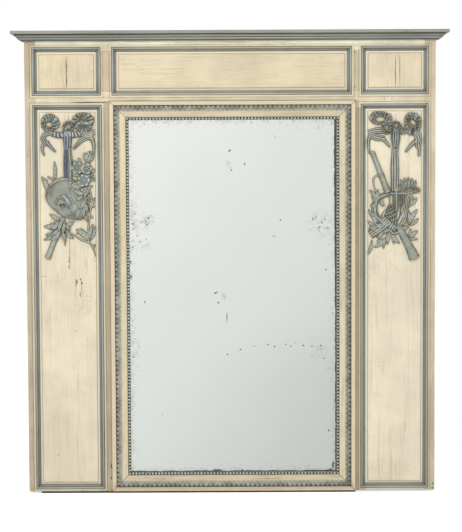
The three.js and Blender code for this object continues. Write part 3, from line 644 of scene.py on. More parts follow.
# Height over the floor and half width in mm, strength and tone, of the lines along the crown:
# painted highlights and painted shade
CROWN_LINES = (
    (1681.5, 3.0, 0.6, CROWN_SHADE),
    (1676.2, 2.4, 0.85, CROWN_HIGHLIGHT),
    (1672.8, 1.6, 0.5, CROWN_SHADE),
    (1669.0, 2.8, 0.95, CROWN_HIGHLIGHT),
    (1663.0, 3.0, 0.6, CROWN_SHADE),
)


def crown_lines(shader):
    """Lines along the crown: painted highlights on its rubbed arrises, and painted shade with grime
    in its quirks.
    """
    for height, width, strength, tone in CROWN_LINES:
        shader.coat(shader.line(shader.z, height * MM, width * MM) * strength, tone)


def dusty_top(shader):
    """Dust and bare wood on the faces that look up."""
    dust = shader.smooth(shader.noise(9, 21, detail=4), 0.3, 0.65)
    wood = bare_wood_colour(shader, "X", rgb(150, 128, 98))
    shader.coat(shader.facing(2, 0.6, 0.9) * 0.85, shader.mix(dust, wood, rgb(150, 144, 128)))


def dress_cornice():
    crown = painted_wood("blue_crown", CROWN_BLUE, "X", crown_lines, corner_shade_and_dirt=0.6)
    returns = painted_wood("blue_crown_return", CROWN_BLUE, "Y", crown_lines, corner_shade_and_dirt=0.6)
    dress_round("crown_front", crown)
    for side in UPRIGHT:
        dress_round(f"crown_return_{side}", returns)
    dress("cap_board", painted_wood("cap_paint", rgb(150, 151, 139), "X", dusty_top, worn=0.7))


# ---------------------------------------------------------------- fielded panels
PANEL_PROFILE_INSET = (6, 14.4, 14.5, 16.5, 20.5, 24.8, 25.0, 25.7, 27.0)  # from the opening, mm
PANEL_PROFILE_DROP = (17, 17, 12.3, 12.3, 9.6, 7.5, 5.6, 5.0, 5.0)  # behind the stiles' face, mm
PANEL_COLOURS = {
    "upper_left": rgb(218, 204, 172),
    "frieze": rgb(218, 204, 173),
    "upper_right": rgb(223, 209, 179),
    "side_left": rgb(231, 220, 193),
    "side_right": rgb(230, 220, 195),
}
# Painted highlight on the panels' bevels
BEVEL_HIGHLIGHT = rgb(240, 233, 213)
CRACKS = {  # photo x, photo y at the top and the bottom, width and depth in mm
    "upper_left": [(66.3, 55.7, 88.0, 1.9, 5.0), (79.0, 70, 88, 0.8, 0.8)],
    "upper_right": [
        (395.4, 56, 87, 1.5, 4.0), (399.9, 54, 87, 1.2, 3.2), (387.6, 78, 88, 1.0, 2.0),
    ],
    "side_left": [
        (69.2, 111.5, 270, 1.1, 1.4), (81.6, 276, 298, 0.9, 1.2), (50.5, 300, 372, 0.6, 0.5),
    ],
    "side_right": [
        (395.6, 111, 205, 1.0, 1.1), (408.2, 300, 420, 0.6, 0.5), (386.5, 250, 330, 0.6, 0.5),
    ],
}
PANEL_MARKS = {  # photo x, photo y, width and height in mm
    "upper_left": [
        (66.6, 81.5, 4.5, 46), (66, 66, 3, 34), (66, 71, 5, 5), (88, 64, 3, 3), (52, 80, 3, 3),
    ],
    "upper_right": [(395.6, 76, 3, 50), (399.9, 68, 3, 60), (372, 66, 3, 2)],
    "side_left": [
        (76.6, 281.8, 12, 24), (80.6, 279.2, 8, 11), (81.8, 283.2, 11, 16), (80.4, 294.8, 6, 24),
        (76.3, 285, 6, 16), (69.3, 258, 5, 12), (69.0, 261.2, 7, 18), (68.9, 267, 5, 20),
        (66.4, 262, 4, 4), (86, 283, 4, 4), (75, 331, 4, 8), (58.5, 455, 5, 8), (88, 340, 4, 6),
        (44, 276.5, 30, 2), (55, 374, 3, 5),
    ],
    "side_right": [
        (383.2, 365.8, 6, 6), (388, 365.6, 20, 2.6), (379.6, 365.2, 12, 2.4), (383.4, 370, 3, 18),
        (382.8, 361.5, 2.4, 14), (386, 368.4, 5, 4), (387.8, 370, 5, 4), (380.8, 368.4, 5, 4),
        (385.6, 363.2, 5, 4), (382.2, 350.5, 4, 5), (378, 311, 5, 4), (396, 268, 3, 8),
        (403, 340, 3, 7), (410, 296, 3, 10),
    ],
    "frieze": [(283, 61, 8, 3), (141, 84, 7, 2), (200, 57, 4, 3), (247, 83, 3, 2)],
}
PANEL_MARK_STRENGTH = {
    "upper_left": 0.75,
    "frieze": 0.4,
    "upper_right": 0.5,
    "side_left": 0.85,
    "side_right": 0.4,
}
PANEL_GRAIN = {name: "X" if name == "frieze" else "Z" for name in PANELS}
CRACK_TAPER = 20 * MM


def paint_panel(shader, name):
    """A panel's own coats: painted highlight on the bevel, brown lines of grime and painted shade
    at the arris and the moulding's foot, knots, and painted shade with grime round a carving.
    """
    inside = shader.outside(openings[name]) * -1.0
    grain = GRAIN[PANEL_GRAIN[name]]
    grain_lines = shader.noise(95, 31, detail=4, stretch=grain, place=shader.bent(3, 0.03))
    shader.coat(shader.smooth(grain_lines, 0.57, 0.68) * 0.2, rgb(176, 148, 108))
    # Painted highlight on the bevel
    bevel = shader.smooth(inside, (FIELD_INSET + 0.3) * MM, (FIELD_INSET - 0.8) * MM)
    shader.coat(bevel * 0.9, BEVEL_HIGHLIGHT)
    # Brown lines of grime and painted shade at the arris and at the moulding's foot
    shader.coat(shader.line(inside, (FIELD_INSET + 1.0) * MM, 2.6 * MM) * 0.6, rgb(158, 132, 96))
    shader.coat(shader.line(inside, MOULDING_WIDTH * MM, 1.3 * MM) * 0.5, GRIME_AND_SHADE)
    if name in DRAWN_WIDTH:
        # Painted shade and grime on the field round a carving
        around = shader.smooth(shader.crevice(30 * MM), 0.93, 0.45)
        on_field = shader.smooth(inside, (FIELD_INSET + 1) * MM, (FIELD_INSET + 4) * MM)
        shader.coat(around * on_field * 0.75, rgb(140, 124, 94))
    knots = shader.spots(photo_ovals(PANEL_MARKS[name], field_y), 0.3)
    shader.coat(knots * PANEL_MARK_STRENGTH[name], rgb(92, 72, 46))


def panel(name):
    """A fielded panel: bevels that mitre, a small arris, a little warp, and cracks cut in it."""
    x0, x1, z0, z1 = openings[name]
    cracks = []
    for px, top, bottom, width, depth in CRACKS.get(name, ()):
        x, _ = photo_point(px, (top + bottom) / 2, field_y)
        _, z_top = photo_point(px, top, field_y)
        _, z_bottom = photo_point(px, bottom, field_y)
        cracks.append((x, z_bottom, z_top, width * MM, depth * MM))
    inset = [value * MM for value in PANEL_PROFILE_INSET]
    across = [x0 + v for v in inset] + [x1 - v for v in inset]
    up = [z0 + v for v in inset] + [z1 - v for v in inset]
    for x, _, _, width, _ in cracks:
        across += [x - width, x - width / 2, x, x + width / 2, x + width]
    x_lines = lines_between(x0 + inset[0], x1 - inset[0], 8 * MM, across)
    z_lines = lines_between(z0 + inset[0], z1 - inset[0], 9 * MM, up)

    def front(xs, zs):
        edge = edge_distance(xs, zs, openings[name])
        drop = np.interp(edge / MM, PANEL_PROFILE_INSET, PANEL_PROFILE_DROP) * MM
        on_field = np.clip((edge - inset[-1]) / (12 * MM), 0, 1)
        drop = drop + on_field * waves(xs, zs, len(name), 0.35, 0.35 * MM)
        for x, low, high, width, depth in cracks:
            reach = np.clip(1 - np.abs(xs - x) / width, 0, 1)
            ends = np.clip((zs - low) / CRACK_TAPER, 0, 1)
            ends = ends * np.clip((high - zs) / CRACK_TAPER, 0, 1)
            drop = drop + depth * reach * np.sqrt(ends)
        return face_y + drop

    def wander(xs, zs):
        moved = np.zeros_like(xs)
        for number, (x, low, high, _, _) in enumerate(cracks):
            share = 0.25 if high - low > 1 else 1.0
            wave = waves(zs * 0 + x, zs, 40 + number, 0.07, 1.6 * MM)
            moved = moved + bell(xs - x, 14 * MM) * share * wave
        return moved

    far_y = face_y + (PANEL_PROFILE_DROP[0] + PANEL_THICKNESS) * MM
    thin = {"corner_shade_and_dirt": 0.3, "worn": 0.25, "crazing": 0.14, "streaky": 0.12}
    coats = partial(paint_panel, name=name)
    material = painted_wood(
        f"paint_{name}_panel", PANEL_COLOURS[name], PANEL_GRAIN[name], coats, **thin
    )
    made = board(f"{name}_panel_wood", x_lines, z_lines, front, far_y, material, wander)
    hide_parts(f"{name}_panel")


# ---------------------------------------------------------------- mirror frame
BAND_WIDTH = 15.5
LEAF_WIDTH = 21.5
FLAT_WIDTH = 22.0
LEAF_PITCH = 17.4
LEAF_STEPS = 10  # points along one leaf
LEAF_CUT = 3.6  # depth of the carving

# Plain section of a mirror frame member before and after the carved band, as its distance in and
# its height over the face of the stiles, mm
SECTION_OUTSIDE = [
    (0, -28), (0, 5.0), (0.9, 6), (4, 6.2), (11, 6.1), (14.6, 5.9), (15.4, 5), (15.5, 2.6),
]
SECTION_INSIDE = [
    (37.0, 0.6), (37.5, 0.5), (42, 0.75), (48, 0.6), (54, 0.35), (58.2, 0.1), (58.9, -0.3),
    (59, -4), (69.7, -4), (69.7, -8.7), (58, -8.7), (58, -28),
]
LEAF_ROWS = 13


def swell(v):
    """Height of the leaf band's body over the stiles' face, v from 0 outside to 1 inside."""
    return 2.9 + 5.2 * np.sin(np.pi * np.clip(v * 1.12, 0, 1)) ** 0.8 - 2.2 * v


def leaf_relief(cell, v):
    """Carving of a heart-leaf band, 0 in the ground to 1 on the crests, for a place in its cell
    (-0.5 to 0.5) and across the band, and 1 where the place is on a leaf or dart."""
    half = 0.5 * np.sqrt(np.clip(1 - np.clip(v, 0, 1) ** 3, 0, 1))
    edge = np.abs(cell) / np.maximum(half, 1e-3)
    inside = np.clip((1.04 - edge) / 0.1, 0, 1)
    away = np.hypot(cell / 0.3, (v - 0.56) / 0.3)
    ring = bell(away - 0.85, 0.26)
    bead = 0.6 * bell(away, 0.3)
    border = 0.55 * bell(edge - 0.93, 0.1) * np.clip((v - 0.3) / 0.2, 0, 1)
    dart = np.clip(1.25 - np.hypot(cell / 0.36, (v - 0.13) / 0.1), 0, 1)
    relief = np.maximum.reduce([ring, bead, border, dart])
    return inside * np.clip(relief, 0, 1), inside


def side_frame(side):
    """Where a frame side's outer edge runs, and how (run, inset) maps to (x, z)."""
    x0, x1, z0, z1 = frame_rect
    if side in ("top", "bottom"):
        edge, inward = (z1, -1) if side == "top" else (z0, 1)
        return x0, x1, lambda run, inset: (run, edge + inward * inset)
    edge, inward = (x0, 1) if side == "left" else (x1, -1)
    return z0, z1, lambda run, inset: (edge + inward * inset, run)


def bar_caps(rows, columns):
    """The long far side, and the two ends, of a bar whose section runs down its rows."""
    last = (rows - 1) * columns
    faces = [(last + c, last + c + 1, c + 1, c) for c in range(columns - 1)]
    faces.append(tuple(row * columns for row in range(rows)))
    faces.append(tuple(row * columns + columns - 1 for row in range(rows - 1, -1, -1)))
    return faces


def mirror_frame_member(side, material):
    """A mitred member with its leaf band carved in the mesh."""
    start, end, place = side_frame(side)
    middle = (start + end) / 2
    cells = round((end - start) / (LEAF_PITCH * MM))
    pitch = (end - start) / cells
    runs = np.linspace(start, end, cells * LEAF_STEPS + 1)
    across = np.linspace(0.0, 1.0, LEAF_ROWS)
    band = [(BAND_WIDTH + 0.1 + v * (LEAF_WIDTH - 0.3), v, True) for v in across]
    sections = (SECTION_OUTSIDE, SECTION_INSIDE)
    plain = [[(*point, False) for point in section] for section in sections]
    section = plain[0] + band + plain[1]
    points, carved, crest = [], [], []
    for inset, value, on_band in section:
        run = np.clip(runs, start + inset * MM + MITRE_GAP, end - inset * MM - MITRE_GAP)
        relief, on_leaf = np.zeros_like(run), np.zeros_like(run)
        height = np.full_like(run, value)
        if on_band:
            cell = (run - middle) / pitch
            relief, on_leaf = leaf_relief(cell - np.round(cell), height)
            height = np.maximum(swell(value) - LEAF_CUT * (1 - relief), 0.4)
        x, z = np.broadcast_arrays(*place(run, inset * MM))
        points.append(np.stack([x, face_y - height * MM, z], -1))
        carved.append(on_leaf)
        crest.append(relief)
    rows, columns = len(section), len(runs)
    faces = grid_faces(rows, columns) + bar_caps(rows, columns)
    attributes = {"carved": np.concatenate(carved), "crest": np.concatenate(crest)}
    points = np.concatenate(points)
    made = new_object(f"mirror_frame_{side}_carved", points, faces, material, attributes)
    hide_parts(f"mirror_frame_{side}")


FRAME_CREAM = rgb(217, 203, 171)
FRAME_CREAM_LEVEL = rgb(207, 193, 165)
# Leaf band tones: the dark hollow is grime and painted shade, the pale crest wear and painted
# highlight
LEAF_HOLLOW = rgb(88, 92, 83)
LEAF_MIDDLE = rgb(158, 160, 147)  # at the left, greyer at the right
LEAF_MIDDLE_RIGHT = rgb(126, 133, 124)
LEAF_CREST = rgb(192, 195, 184)
FAR = 9.0  # beyond the object, m


def paint_frame(shader):
    """The mirror frame's own coats: band, carved leaves, flat, and the lines between."""
    inside = shader.outside(frame_rect) * -1.0
    leaf_start = BAND_WIDTH * MM
    flat_start = (BAND_WIDTH + LEAF_WIDTH) * MM
    shader.coat(shader.smooth(inside, leaf_start, leaf_start - 1.5 * MM) * 0.75, rgb(219, 204, 174))

    inner = shader.smooth(inside, leaf_start - 0.6 * MM, leaf_start + 0.4 * MM)
    on_band = inner * shader.smooth(inside, flat_start - 0.4 * MM, flat_start - 1.6 * MM)
    # Dark hollows of grime and painted shade, pale crests of wear and painted highlight, by relief
    tone = shader.attribute("crest") + (shader.noise(30, 41, detail=4) - 0.5) * 1.5
    rightward = shader.smooth(shader.x, 250 * MM, 430 * MM)
    middle = shader.mix(rightward, LEAF_MIDDLE, LEAF_MIDDLE_RIGHT)
    leaf = shader.mix(shader.smooth(tone, 0.08, 0.48), LEAF_HOLLOW, middle)
    leaf = shader.mix(shader.smooth(tone, 0.55, 1.0), leaf, LEAF_CREST)
    toe = shader.smooth(inside, flat_start - 8 * MM, flat_start - 4 * MM)
    leaf = shader.mix(toe * (1.0 - shader.attribute("carved")) * 0.85, leaf, rgb(200, 190, 164))
    shader.coat(on_band, leaf)

    at_top = shader.smooth(shader.z, frame_z1 - 20 * MM, frame_z1 - 5 * MM)
    shader.coat(shader.line(inside, 0.0, 2.2 * MM) * at_top * 0.9, rgb(98, 80, 52))
    # Dark line of grime and painted shade in the quirk outside the leaf band
    shader.coat(shader.line(inside, leaf_start + 1.2 * MM, 2.4 * MM) * 0.7, rgb(74, 68, 52))
    at_foot = shader.smooth(shader.z, 45 * MM, 30 * MM)
    shader.coat(shader.line(inside, 13 * MM, 9 * MM) * at_foot * 0.35, rgb(140, 130, 106))
    # Dark line of grime and painted shade at the leaf band's inner foot
    shader.coat(shader.line(inside, flat_start + 0.3 * MM, 1.3 * MM) * 0.35, GRIME_AND_SHADE)
    flat_end = flat_start + FLAT_WIDTH * MM
    shader.coat(shader.smooth(inside, flat_end - 5 * MM, flat_end) * 0.4, rgb(160, 146, 120))
    x_edge = shader.outside((frame_x0, frame_x1, -FAR, FAR))
    z_edge = shader.outside((-FAR, FAR, frame_z0, frame_z1))
    shader.coat(shader.line(x_edge - z_edge, 0.0, 2.2 * MM) * 0.75, GRIME_AND_SHADE)


# ---------------------------------------------------------------- pearls
PEARL_PITCH = 12.0
PEARL_RADIUS = 4.5
PEARL_INSET = 64.5
PEARL_BED = -2.6  # bed of the pearls, over the stiles' face, mm
PEARL_BAR = [
    (59.3, -3.7), (59.3, -1.4), (59.8, -0.9), (60.4, -1.5), (60.8, PEARL_BED), (68.2, PEARL_BED),
    (68.6, -1.9), (69.2, -1.7), (69.7, -2.4), (69.7, -3.7),
]


def dome(centre, radius, segments=12, rings=4):
    """Points and faces of a half ball that faces the front, its foot closed."""
    x, y, z = centre
    points = []
    for ring in range(rings):
        lift = math.pi / 2 * ring / rings
        flat = radius * math.cos(lift)
        for k in range(segments):
            turn = 2 * math.pi * k / segments
            out_x, out_z = flat * math.cos(turn), flat * math.sin(turn)
            points.append((x + out_x, y - radius * math.sin(lift), z + out_z))
    points.append((x, y - radius, z))
    return points, capped_rings(rings, segments)


def pearl_row(side, material):
    """A mitred bead bar with a string of separately carved pearls in its bed."""
    start, end, place = side_frame(side)
    random = np.random.default_rng(len(side))
    points, crest = [], []
    for inset, height in PEARL_BAR:
        for run in (start + inset * MM + MITRE_GAP, end - inset * MM - MITRE_GAP):
            x, z = place(run, inset * MM)
            points.append((x, face_y - height * MM, z))
            crest.append(0.55 if height > -2.5 else 0.0)
    rows = len(PEARL_BAR)
    faces = grid_faces(rows, 2) + bar_caps(rows, 2)
    first = start + PEARL_INSET * MM
    last = end - PEARL_INSET * MM
    count = round((last - first) / (PEARL_PITCH * MM))
    pitch = (last - first) / count
    corners = 1 if side in UPRIGHT else 0  # the level rows have the pearls in the corners
    bed = face_y - PEARL_BED * MM
    for k in range(corners, count + 1 - corners):
        jitter = random.uniform(-1, 1, 3)
        x, z = place(first + pitch * (k + 0.03 * jitter[0]), (PEARL_INSET + 0.15 * jitter[1]) * MM)
        radius = PEARL_RADIUS * (1 + 0.04 * jitter[2]) * MM
        ball, skin = dome((x, bed + 0.2 * MM, z), radius)
        base = len(points)
        points += ball
        faces += [tuple(base + index for index in face) for face in skin]
        crest += list(np.clip((bed - np.array(ball)[:, 1]) / radius, 0, 1))
    made = new_object(f"pearls_{side}", points, faces, material, {"crest": crest})
    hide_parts(f"pearl_moulding_{side}")


def pearl_paint():
    shader = Shader("pearl_paint")
    # Dark bed and gaps of grime and painted shade, pale tops of painted highlight, by relief
    tone = shader.attribute("crest") + (shader.noise(45, 51, detail=2) - 0.5) * 0.5
    shader.colour = shader.mix(shader.smooth(tone, 0.1, 0.5), rgb(52, 54, 49), rgb(156, 158, 148))
    shader.coat(shader.smooth(tone, 0.6, 1.0), rgb(204, 205, 195))
    # Painted shade in the crevices round the pearls
    shader.coat(shader.smooth(shader.crevice(7 * MM), 0.75, 0.2) * 0.8, rgb(48, 48, 40))
    flakes = shader.smooth(shader.noise(160, 53, detail=2), 0.66, 0.72)
    shader.coat(flakes * 0.7, rgb(206, 200, 178))
    fine = shader.noise(400, 55)
    return shader.finish(shader.smooth(fine, 0.2, 0.9, 0.8), fine, 0.0003)


# ---------------------------------------------------------------- carved ornaments
def smooth_path(points, count):
    """Points a step apart on a smooth curve through the given ones, and the direction at each."""
    knots = np.array(points, float)
    if len(knots) == 2:
        knots = np.array([knots[0], (knots[0] + knots[1]) / 2, knots[1]])
    ends = [2 * knots[0] - knots[1]], [2 * knots[-1] - knots[-2]]
    padded = np.vstack([ends[0], knots, ends[1]])
    spans = len(knots) - 1
    places = []
    for t in np.linspace(0, spans, count):
        span = min(int(t), spans - 1)
        f = t - span
        a, b, c, d = padded[span : span + 4]
        places.append(
            0.5
            * (
                2 * b
                + (c - a) * f
                + (2 * a - 5 * b + 4 * c - d) * f**2
                + (3 * b - a - 3 * c + d) * f**3
            )
        )
    places = np.array(places)
    along = np.gradient(places, axis=0)
    along /= np.maximum(np.linalg.norm(along, axis=1, keepdims=True), 1e-9)
    return places, along


def bell(value, width):
    """1 where the value is 0, falling away over about a width."""
    return np.exp(-((value / width) ** 2))


def swing(angle):
    """A wave from 0 to 1, with 1 at angle 0."""
    return 0.5 + 0.5 * np.cos(angle)


def turns(count):
    """Angles round a circle, as a row."""
    return np.linspace(0, 2 * math.pi, count, endpoint=False)[None, :]


def shares(count, low=0):
    """Even steps from low to 1, as a column."""
    return np.linspace(low, 1, count)[:, None]


def oval(x, z, radius_x, radius_z, angles):
    return np.stack([x + radius_x * np.cos(angles), z + radius_z * np.sin(angles)], -1)


def strip(places, along, half, w):
    """Points at shares w of the half widths to each side of a path."""
    normal = np.stack([-along[:, 1], along[:, 0]], -1)
    return places[None] + normal[None] * (half[None, :, None] * w[..., None])


# Steps in mm between the points along a pleated ribbon, and along one with lengthwise folds
PLEAT_STEP = 1.6
FOLD_STEP = 4
# Share of the palette's way in, its rise in mm and its tone, of each ring of points
PLATE_STEPS = (
    (0, -1.8, 0.0),
    (0.02, 0.4, 0.1),
    (0.06, 1.6, 0.6),
    (0.1, 0.6, 0.05),
    (0.14, 0, 0.35),
    (0.3, 0.5, 0.45),
    (0.5, 0.8, 0.5),
    (0.7, 0.3, 0.4),
    (0.9, 0.1, 0.35),
    (0.94, 1.6, 0.5),
    (0.97, 0.7, 0.1),
    (1.0, -1.2, 0.0),
)


class Carving:
    """Closed carved shells on a panel's field, in local mm: x from the field's centre line, z down
    from its top edge, and a lift in front of the field. Each point has a crest, from 0 in a hollow
    to 1 on a rubbed crest, which the paint turns into grime and painted shade in hollows and a
    painted highlight on crests, and an accent, the share of bluer paint."""

    def __init__(self, opening):
        x0, x1, _, z1 = openings[opening]
        inset = FIELD_INSET * MM
        self.scale = (x1 - x0 - 2 * inset) / DRAWN_WIDTH[opening]
        self.middle = (x0 + x1) / 2
        self.top = z1 - inset
        self.points, self.faces, self.crests, self.accents = [], [], [], []

    def put(self, flat, lifts, crests, accent):
        """Adds points and gives the number of the first."""
        start = len(self.points)
        y = field_y - (CARVING_GAP + np.asarray(lifts)) * MM
        for (x, z), depth in zip(flat, y):
            self.points.append((self.middle + self.scale * x, depth, self.top + self.scale * z))
        self.crests += list(np.clip(crests, 0, 1))
        self.accents += [accent] * len(flat)
        return start

    def patch(self, flat, lifts, crests, accent=0.0, wrap=False):
        """A grid of carved points, with upright sides down to the field and a closed underside."""
        rows, columns = lifts.shape
        start = self.put(flat.reshape(-1, 2), lifts.ravel(), crests.ravel(), accent)
        self.faces += grid_faces(rows, columns, start, wrap)
        if wrap:
            outer = list(range(columns))
            inner = [(rows - 1) * columns + k for k in outer]
            foot, inner_foot = (self.skirt(flat, loop, start, accent) for loop in (outer, inner))
            self.faces += ring_faces(range(foot, foot + columns), inner_foot)
        else:
            loop = rim(rows, columns)
            foot = self.skirt(flat, loop, start, accent)
            self.faces.append(tuple(range(foot, foot + len(loop))))

    def skirt(self, flat, loop, start, accent):
        """Upright sides from a loop of carved points down to the field."""
        foot = self.put(flat.reshape(-1, 2)[loop], np.zeros(len(loop)), np.zeros(len(loop)), accent)
        self.faces += ring_faces([start + index for index in loop], foot)
        return foot

    def ribbon(self, path, widths, lift, folds=2, pleats=0, low=0.0, accent=0.0, rub=1.0):
        """A strip with lengthwise folds, or pleats across it, along a path. Widths run to its end,
        and rub is how pale its crests are: worn paint and painted highlight."""
        length = sum(math.dist(a, b) for a, b in zip(path, path[1:]))
        count = max(10, int(length / (PLEAT_STEP if pleats else FOLD_STEP)))
        places, along = smooth_path(path, count)
        t = np.linspace(0, 1, count)
        half = np.interp(t, np.linspace(0, 1, len(widths)), widths) / 2
        t = t[None, :]
        w = shares(6 * folds + 3, -1)
        arch = np.sqrt(np.clip(1 - np.abs(w) ** 3, 0, 1))
        fold = swing(2 * np.pi * (folds * w / 2 + 0.06 * np.sin(9 * t)))
        if pleats:
            fold = swing(2 * np.pi * (pleats * t + 0.12 * w))
        shape = arch * (0.5 + 0.5 * fold)
        lifts = np.maximum(low + 1.0, low + (lift - low) * (0.3 + 0.7 * shape))
        self.patch(strip(places, along, half, w), lifts, rub * arch * fold, accent)

    def loop(self, centre, hole, pleats, accent=0.0, lift=10.0, slant=0.0):
        """A bow's loop: a ring of cloth gathered into pleats round its opening. Its centre and its
        hole are (x, z, x radius, z radius)."""
        x, z, radius_x, radius_z = centre
        theta = turns(max(72, pleats * 8))
        m = shares(10)
        uneven = theta + 0.2 * np.sin(2 * theta + radius_x) + 0.09 * np.sin(5 * theta + radius_z)
        ruffle = np.cos(pleats * uneven + 4.2 * m + 0.8 * np.sin(3 * theta + 5 * m))
        reach = 1 + 0.045 * ruffle + 0.05 * np.cos(3 * theta + radius_z)
        outer = oval(x, z, radius_x * 0.97 * reach, radius_z * 0.97 * reach, theta)
        inner = oval(*hole, theta)
        inner[..., 0] += slant * np.sin(theta)
        flat = outer * (1 - m[..., None]) + inner * m[..., None]
        arch = np.abs(np.sin(np.pi * np.clip(0.1 + 1.75 * m, 0, 1.86))) ** 0.6
        fold = 0.5 + 0.5 * ruffle
        lifts = np.maximum(lift * (0.35 + 0.65 * arch) * (0.55 + 0.45 * fold), 2.0)
        self.patch(flat, lifts, arch * fold * 0.8, accent, wrap=True)

    def leaf(self, foot, tip, width, lift=6.0, bend=0.0, veins=5, accent=0.0, base=0.0):
        """A pointed leaf with a sunk midrib, raised side veins and a lobed edge."""
        foot, tip = np.array(foot, float), np.array(tip, float)
        span = tip - foot
        side = np.array([-span[1], span[0]]) / np.linalg.norm(span)
        places, along = smooth_path([foot, (foot + tip) / 2 + side * bend, tip], 16)
        t = np.linspace(0, 1, 16)
        half = width / 2 * np.sin(np.pi * np.clip(0.06 + 0.93 * t, 0, 1) ** 1.15) ** 0.85
        half = half * (1 + 0.1 * np.cos(2 * np.pi * veins * t))
        half[-1] = 0.35
        w = shares(9, -1)
        t = t[None, :]
        arch = np.sqrt(np.clip(1 - w**2, 0, 1)) * np.sin(np.pi * (0.12 + 0.76 * t)) ** 0.6
        vein = swing(2 * np.pi * (veins * t - 0.8 * np.abs(w)))
        shape = np.clip(arch * (0.8 + 0.2 * vein) - 0.45 * bell(w, 0.16) * arch, 0, 1)
        lifts = base + 1.4 + (lift - base - 1.4) * shape
        crests = np.clip(shape * (0.55 + 0.55 * vein) * 1.15, 0, 1)
        self.patch(strip(places, along, half, w), lifts, crests, accent)

    def flower(self, x, z, radius, petals=6, lift=10.0, accent=0.0, base=0.0):
        """An open flower: two rounds of cupped petals about a raised heart."""
        theta = turns(petals * 10)
        m = shares(9)
        outer = np.abs(np.cos(petals * theta / 2)) ** 0.6
        inner = np.abs(np.sin(petals * theta / 2)) ** 0.6
        reach = radius * (0.78 + 0.22 * outer) * (1 - 0.97 * m)
        cup = np.where(m < 0.45, 0.45 + 0.4 * np.sin(np.pi * m / 0.45) * outer, 0)
        ring = 0.4 + 0.45 * np.sin(np.pi * (m - 0.45) / 0.33) * inner
        ring = np.where((m >= 0.45) & (m < 0.78), ring, 0)
        heart = np.where(m >= 0.78, 0.35 + 0.6 * np.sin(np.pi / 2 * (m - 0.78) / 0.22), 0)
        shape = cup + ring + heart
        lifts = base + np.maximum(1.6, (lift - base) * shape)
        crests = np.clip((shape - 0.35) * 1.9, 0, 1)
        self.patch(oval(x, z, reach, reach, theta), lifts, crests, accent, wrap=True)

    def rod(self, a, b, radii, rings=(), flutes=0, accent=0.0, height=1.0, lift=0.0, rub=1.0):
        """A half-round rod between two radii, with raised rings at shares of its length, and flutes
        along it."""
        a, b = np.array(a, float), np.array(b, float)
        length = np.linalg.norm(b - a)
        count = max(16, int(length / 2.2))
        t = np.linspace(0, 1, count)
        ringed, beside = (
            sum((bell((t - ring) * length, width) for ring in rings), np.zeros(count))
            for width in (1.8, 4)
        )
        radius = (radii[0] + (radii[1] - radii[0]) * t) + 2.2 * ringed
        normal = np.array([-(b - a)[1], (b - a)[0]]) / length
        angles = np.linspace(0, math.pi, 15 if flutes else 9)[:, None]
        centre = a[None] + (b - a)[None] * t[:, None]
        flat = centre[None] + normal[None, None] * (np.cos(angles) * radius[None])[..., None]
        groove = swing(flutes * angles * 2)
        lifts = lift + height * np.sin(angles) * radius[None] * (0.85 + 0.15 * groove)
        crests = np.sin(angles) * (0.45 + 0.3 * groove) + 0.75 * ringed[None] - 0.55 * beside[None]
        self.patch(flat, np.maximum(lifts, 0.3), rub * crests, accent)

    def beads(self, path, radius, count, lift):
        """A string of small balls along a path."""
        theta = turns(8)
        m = shares(4)
        reach = radius * np.cos(m * math.pi / 2 * 0.97)
        rise = np.sin(m * math.pi / 2) * np.ones_like(theta)
        for x, z in smooth_path(path, count)[0]:
            flat = oval(x, z, reach, reach, theta)
            self.patch(flat, lift + radius * rise, 0.3 + 0.7 * rise, wrap=True)

    def plate(self, outline, hole, lift):
        """A dished plate with a raised rim, drawn from its outline in to an oval hole, with mottled
        paint. Each of PLATE_STEPS is a share of the way in, a rise and a crest."""
        edge = smooth_path([*outline, outline[0]], 97)[0][:-1]
        theta = np.arctan2(edge[:, 1] - hole[1], edge[:, 0] - hole[0])
        inner = oval(*hole, theta)
        flat = np.stack([edge * (1 - s) + inner * s for s, _, _ in PLATE_STEPS])
        lifts = np.stack([np.full(len(edge), lift + rise) for _, rise, _ in PLATE_STEPS])
        mottle = [0.25 * np.sin(4 * theta + 17 * s) * np.cos(9 * s) for s, _, _ in PLATE_STEPS]
        crests = np.stack([tone + spots for (_, _, tone), spots in zip(PLATE_STEPS, mottle)])
        self.patch(flat, lifts, crests, wrap=True)

    def net(self, corners, lift, cells):
        """A four-cornered cover with a raised diagonal net over dark gaps."""
        a, b, c, d = (np.array(corner, float) for corner in corners)
        steps = np.linspace(0, 1, cells * 8 + 1)
        s, t = steps[:, None, None], steps[None, :, None]
        flat = (a * (1 - s) + b * s) * (1 - t) + (d * (1 - s) + c * s) * t
        s, t = s[..., 0], t[..., 0]
        one = np.abs(np.sin(np.pi * cells * (s + t)))
        two = np.abs(np.sin(np.pi * cells * (s - t)))
        ridge = 1 - np.clip(np.minimum(one, two) / 0.5, 0, 1)
        ridge = np.where(edge_distance(s, t, (0, 1, 0, 1)) < 0.03, 1.0, ridge)
        self.patch(flat, lift * (0.35 + 0.65 * ridge), 0.05 + 0.75 * ridge)

    def finish(self, name, replaced, material):
        attributes = {"crest": self.crests, "accent": self.accents}
        made = new_object(name, self.points, self.faces, material, attributes, sharp=60)
        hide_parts(replaced)


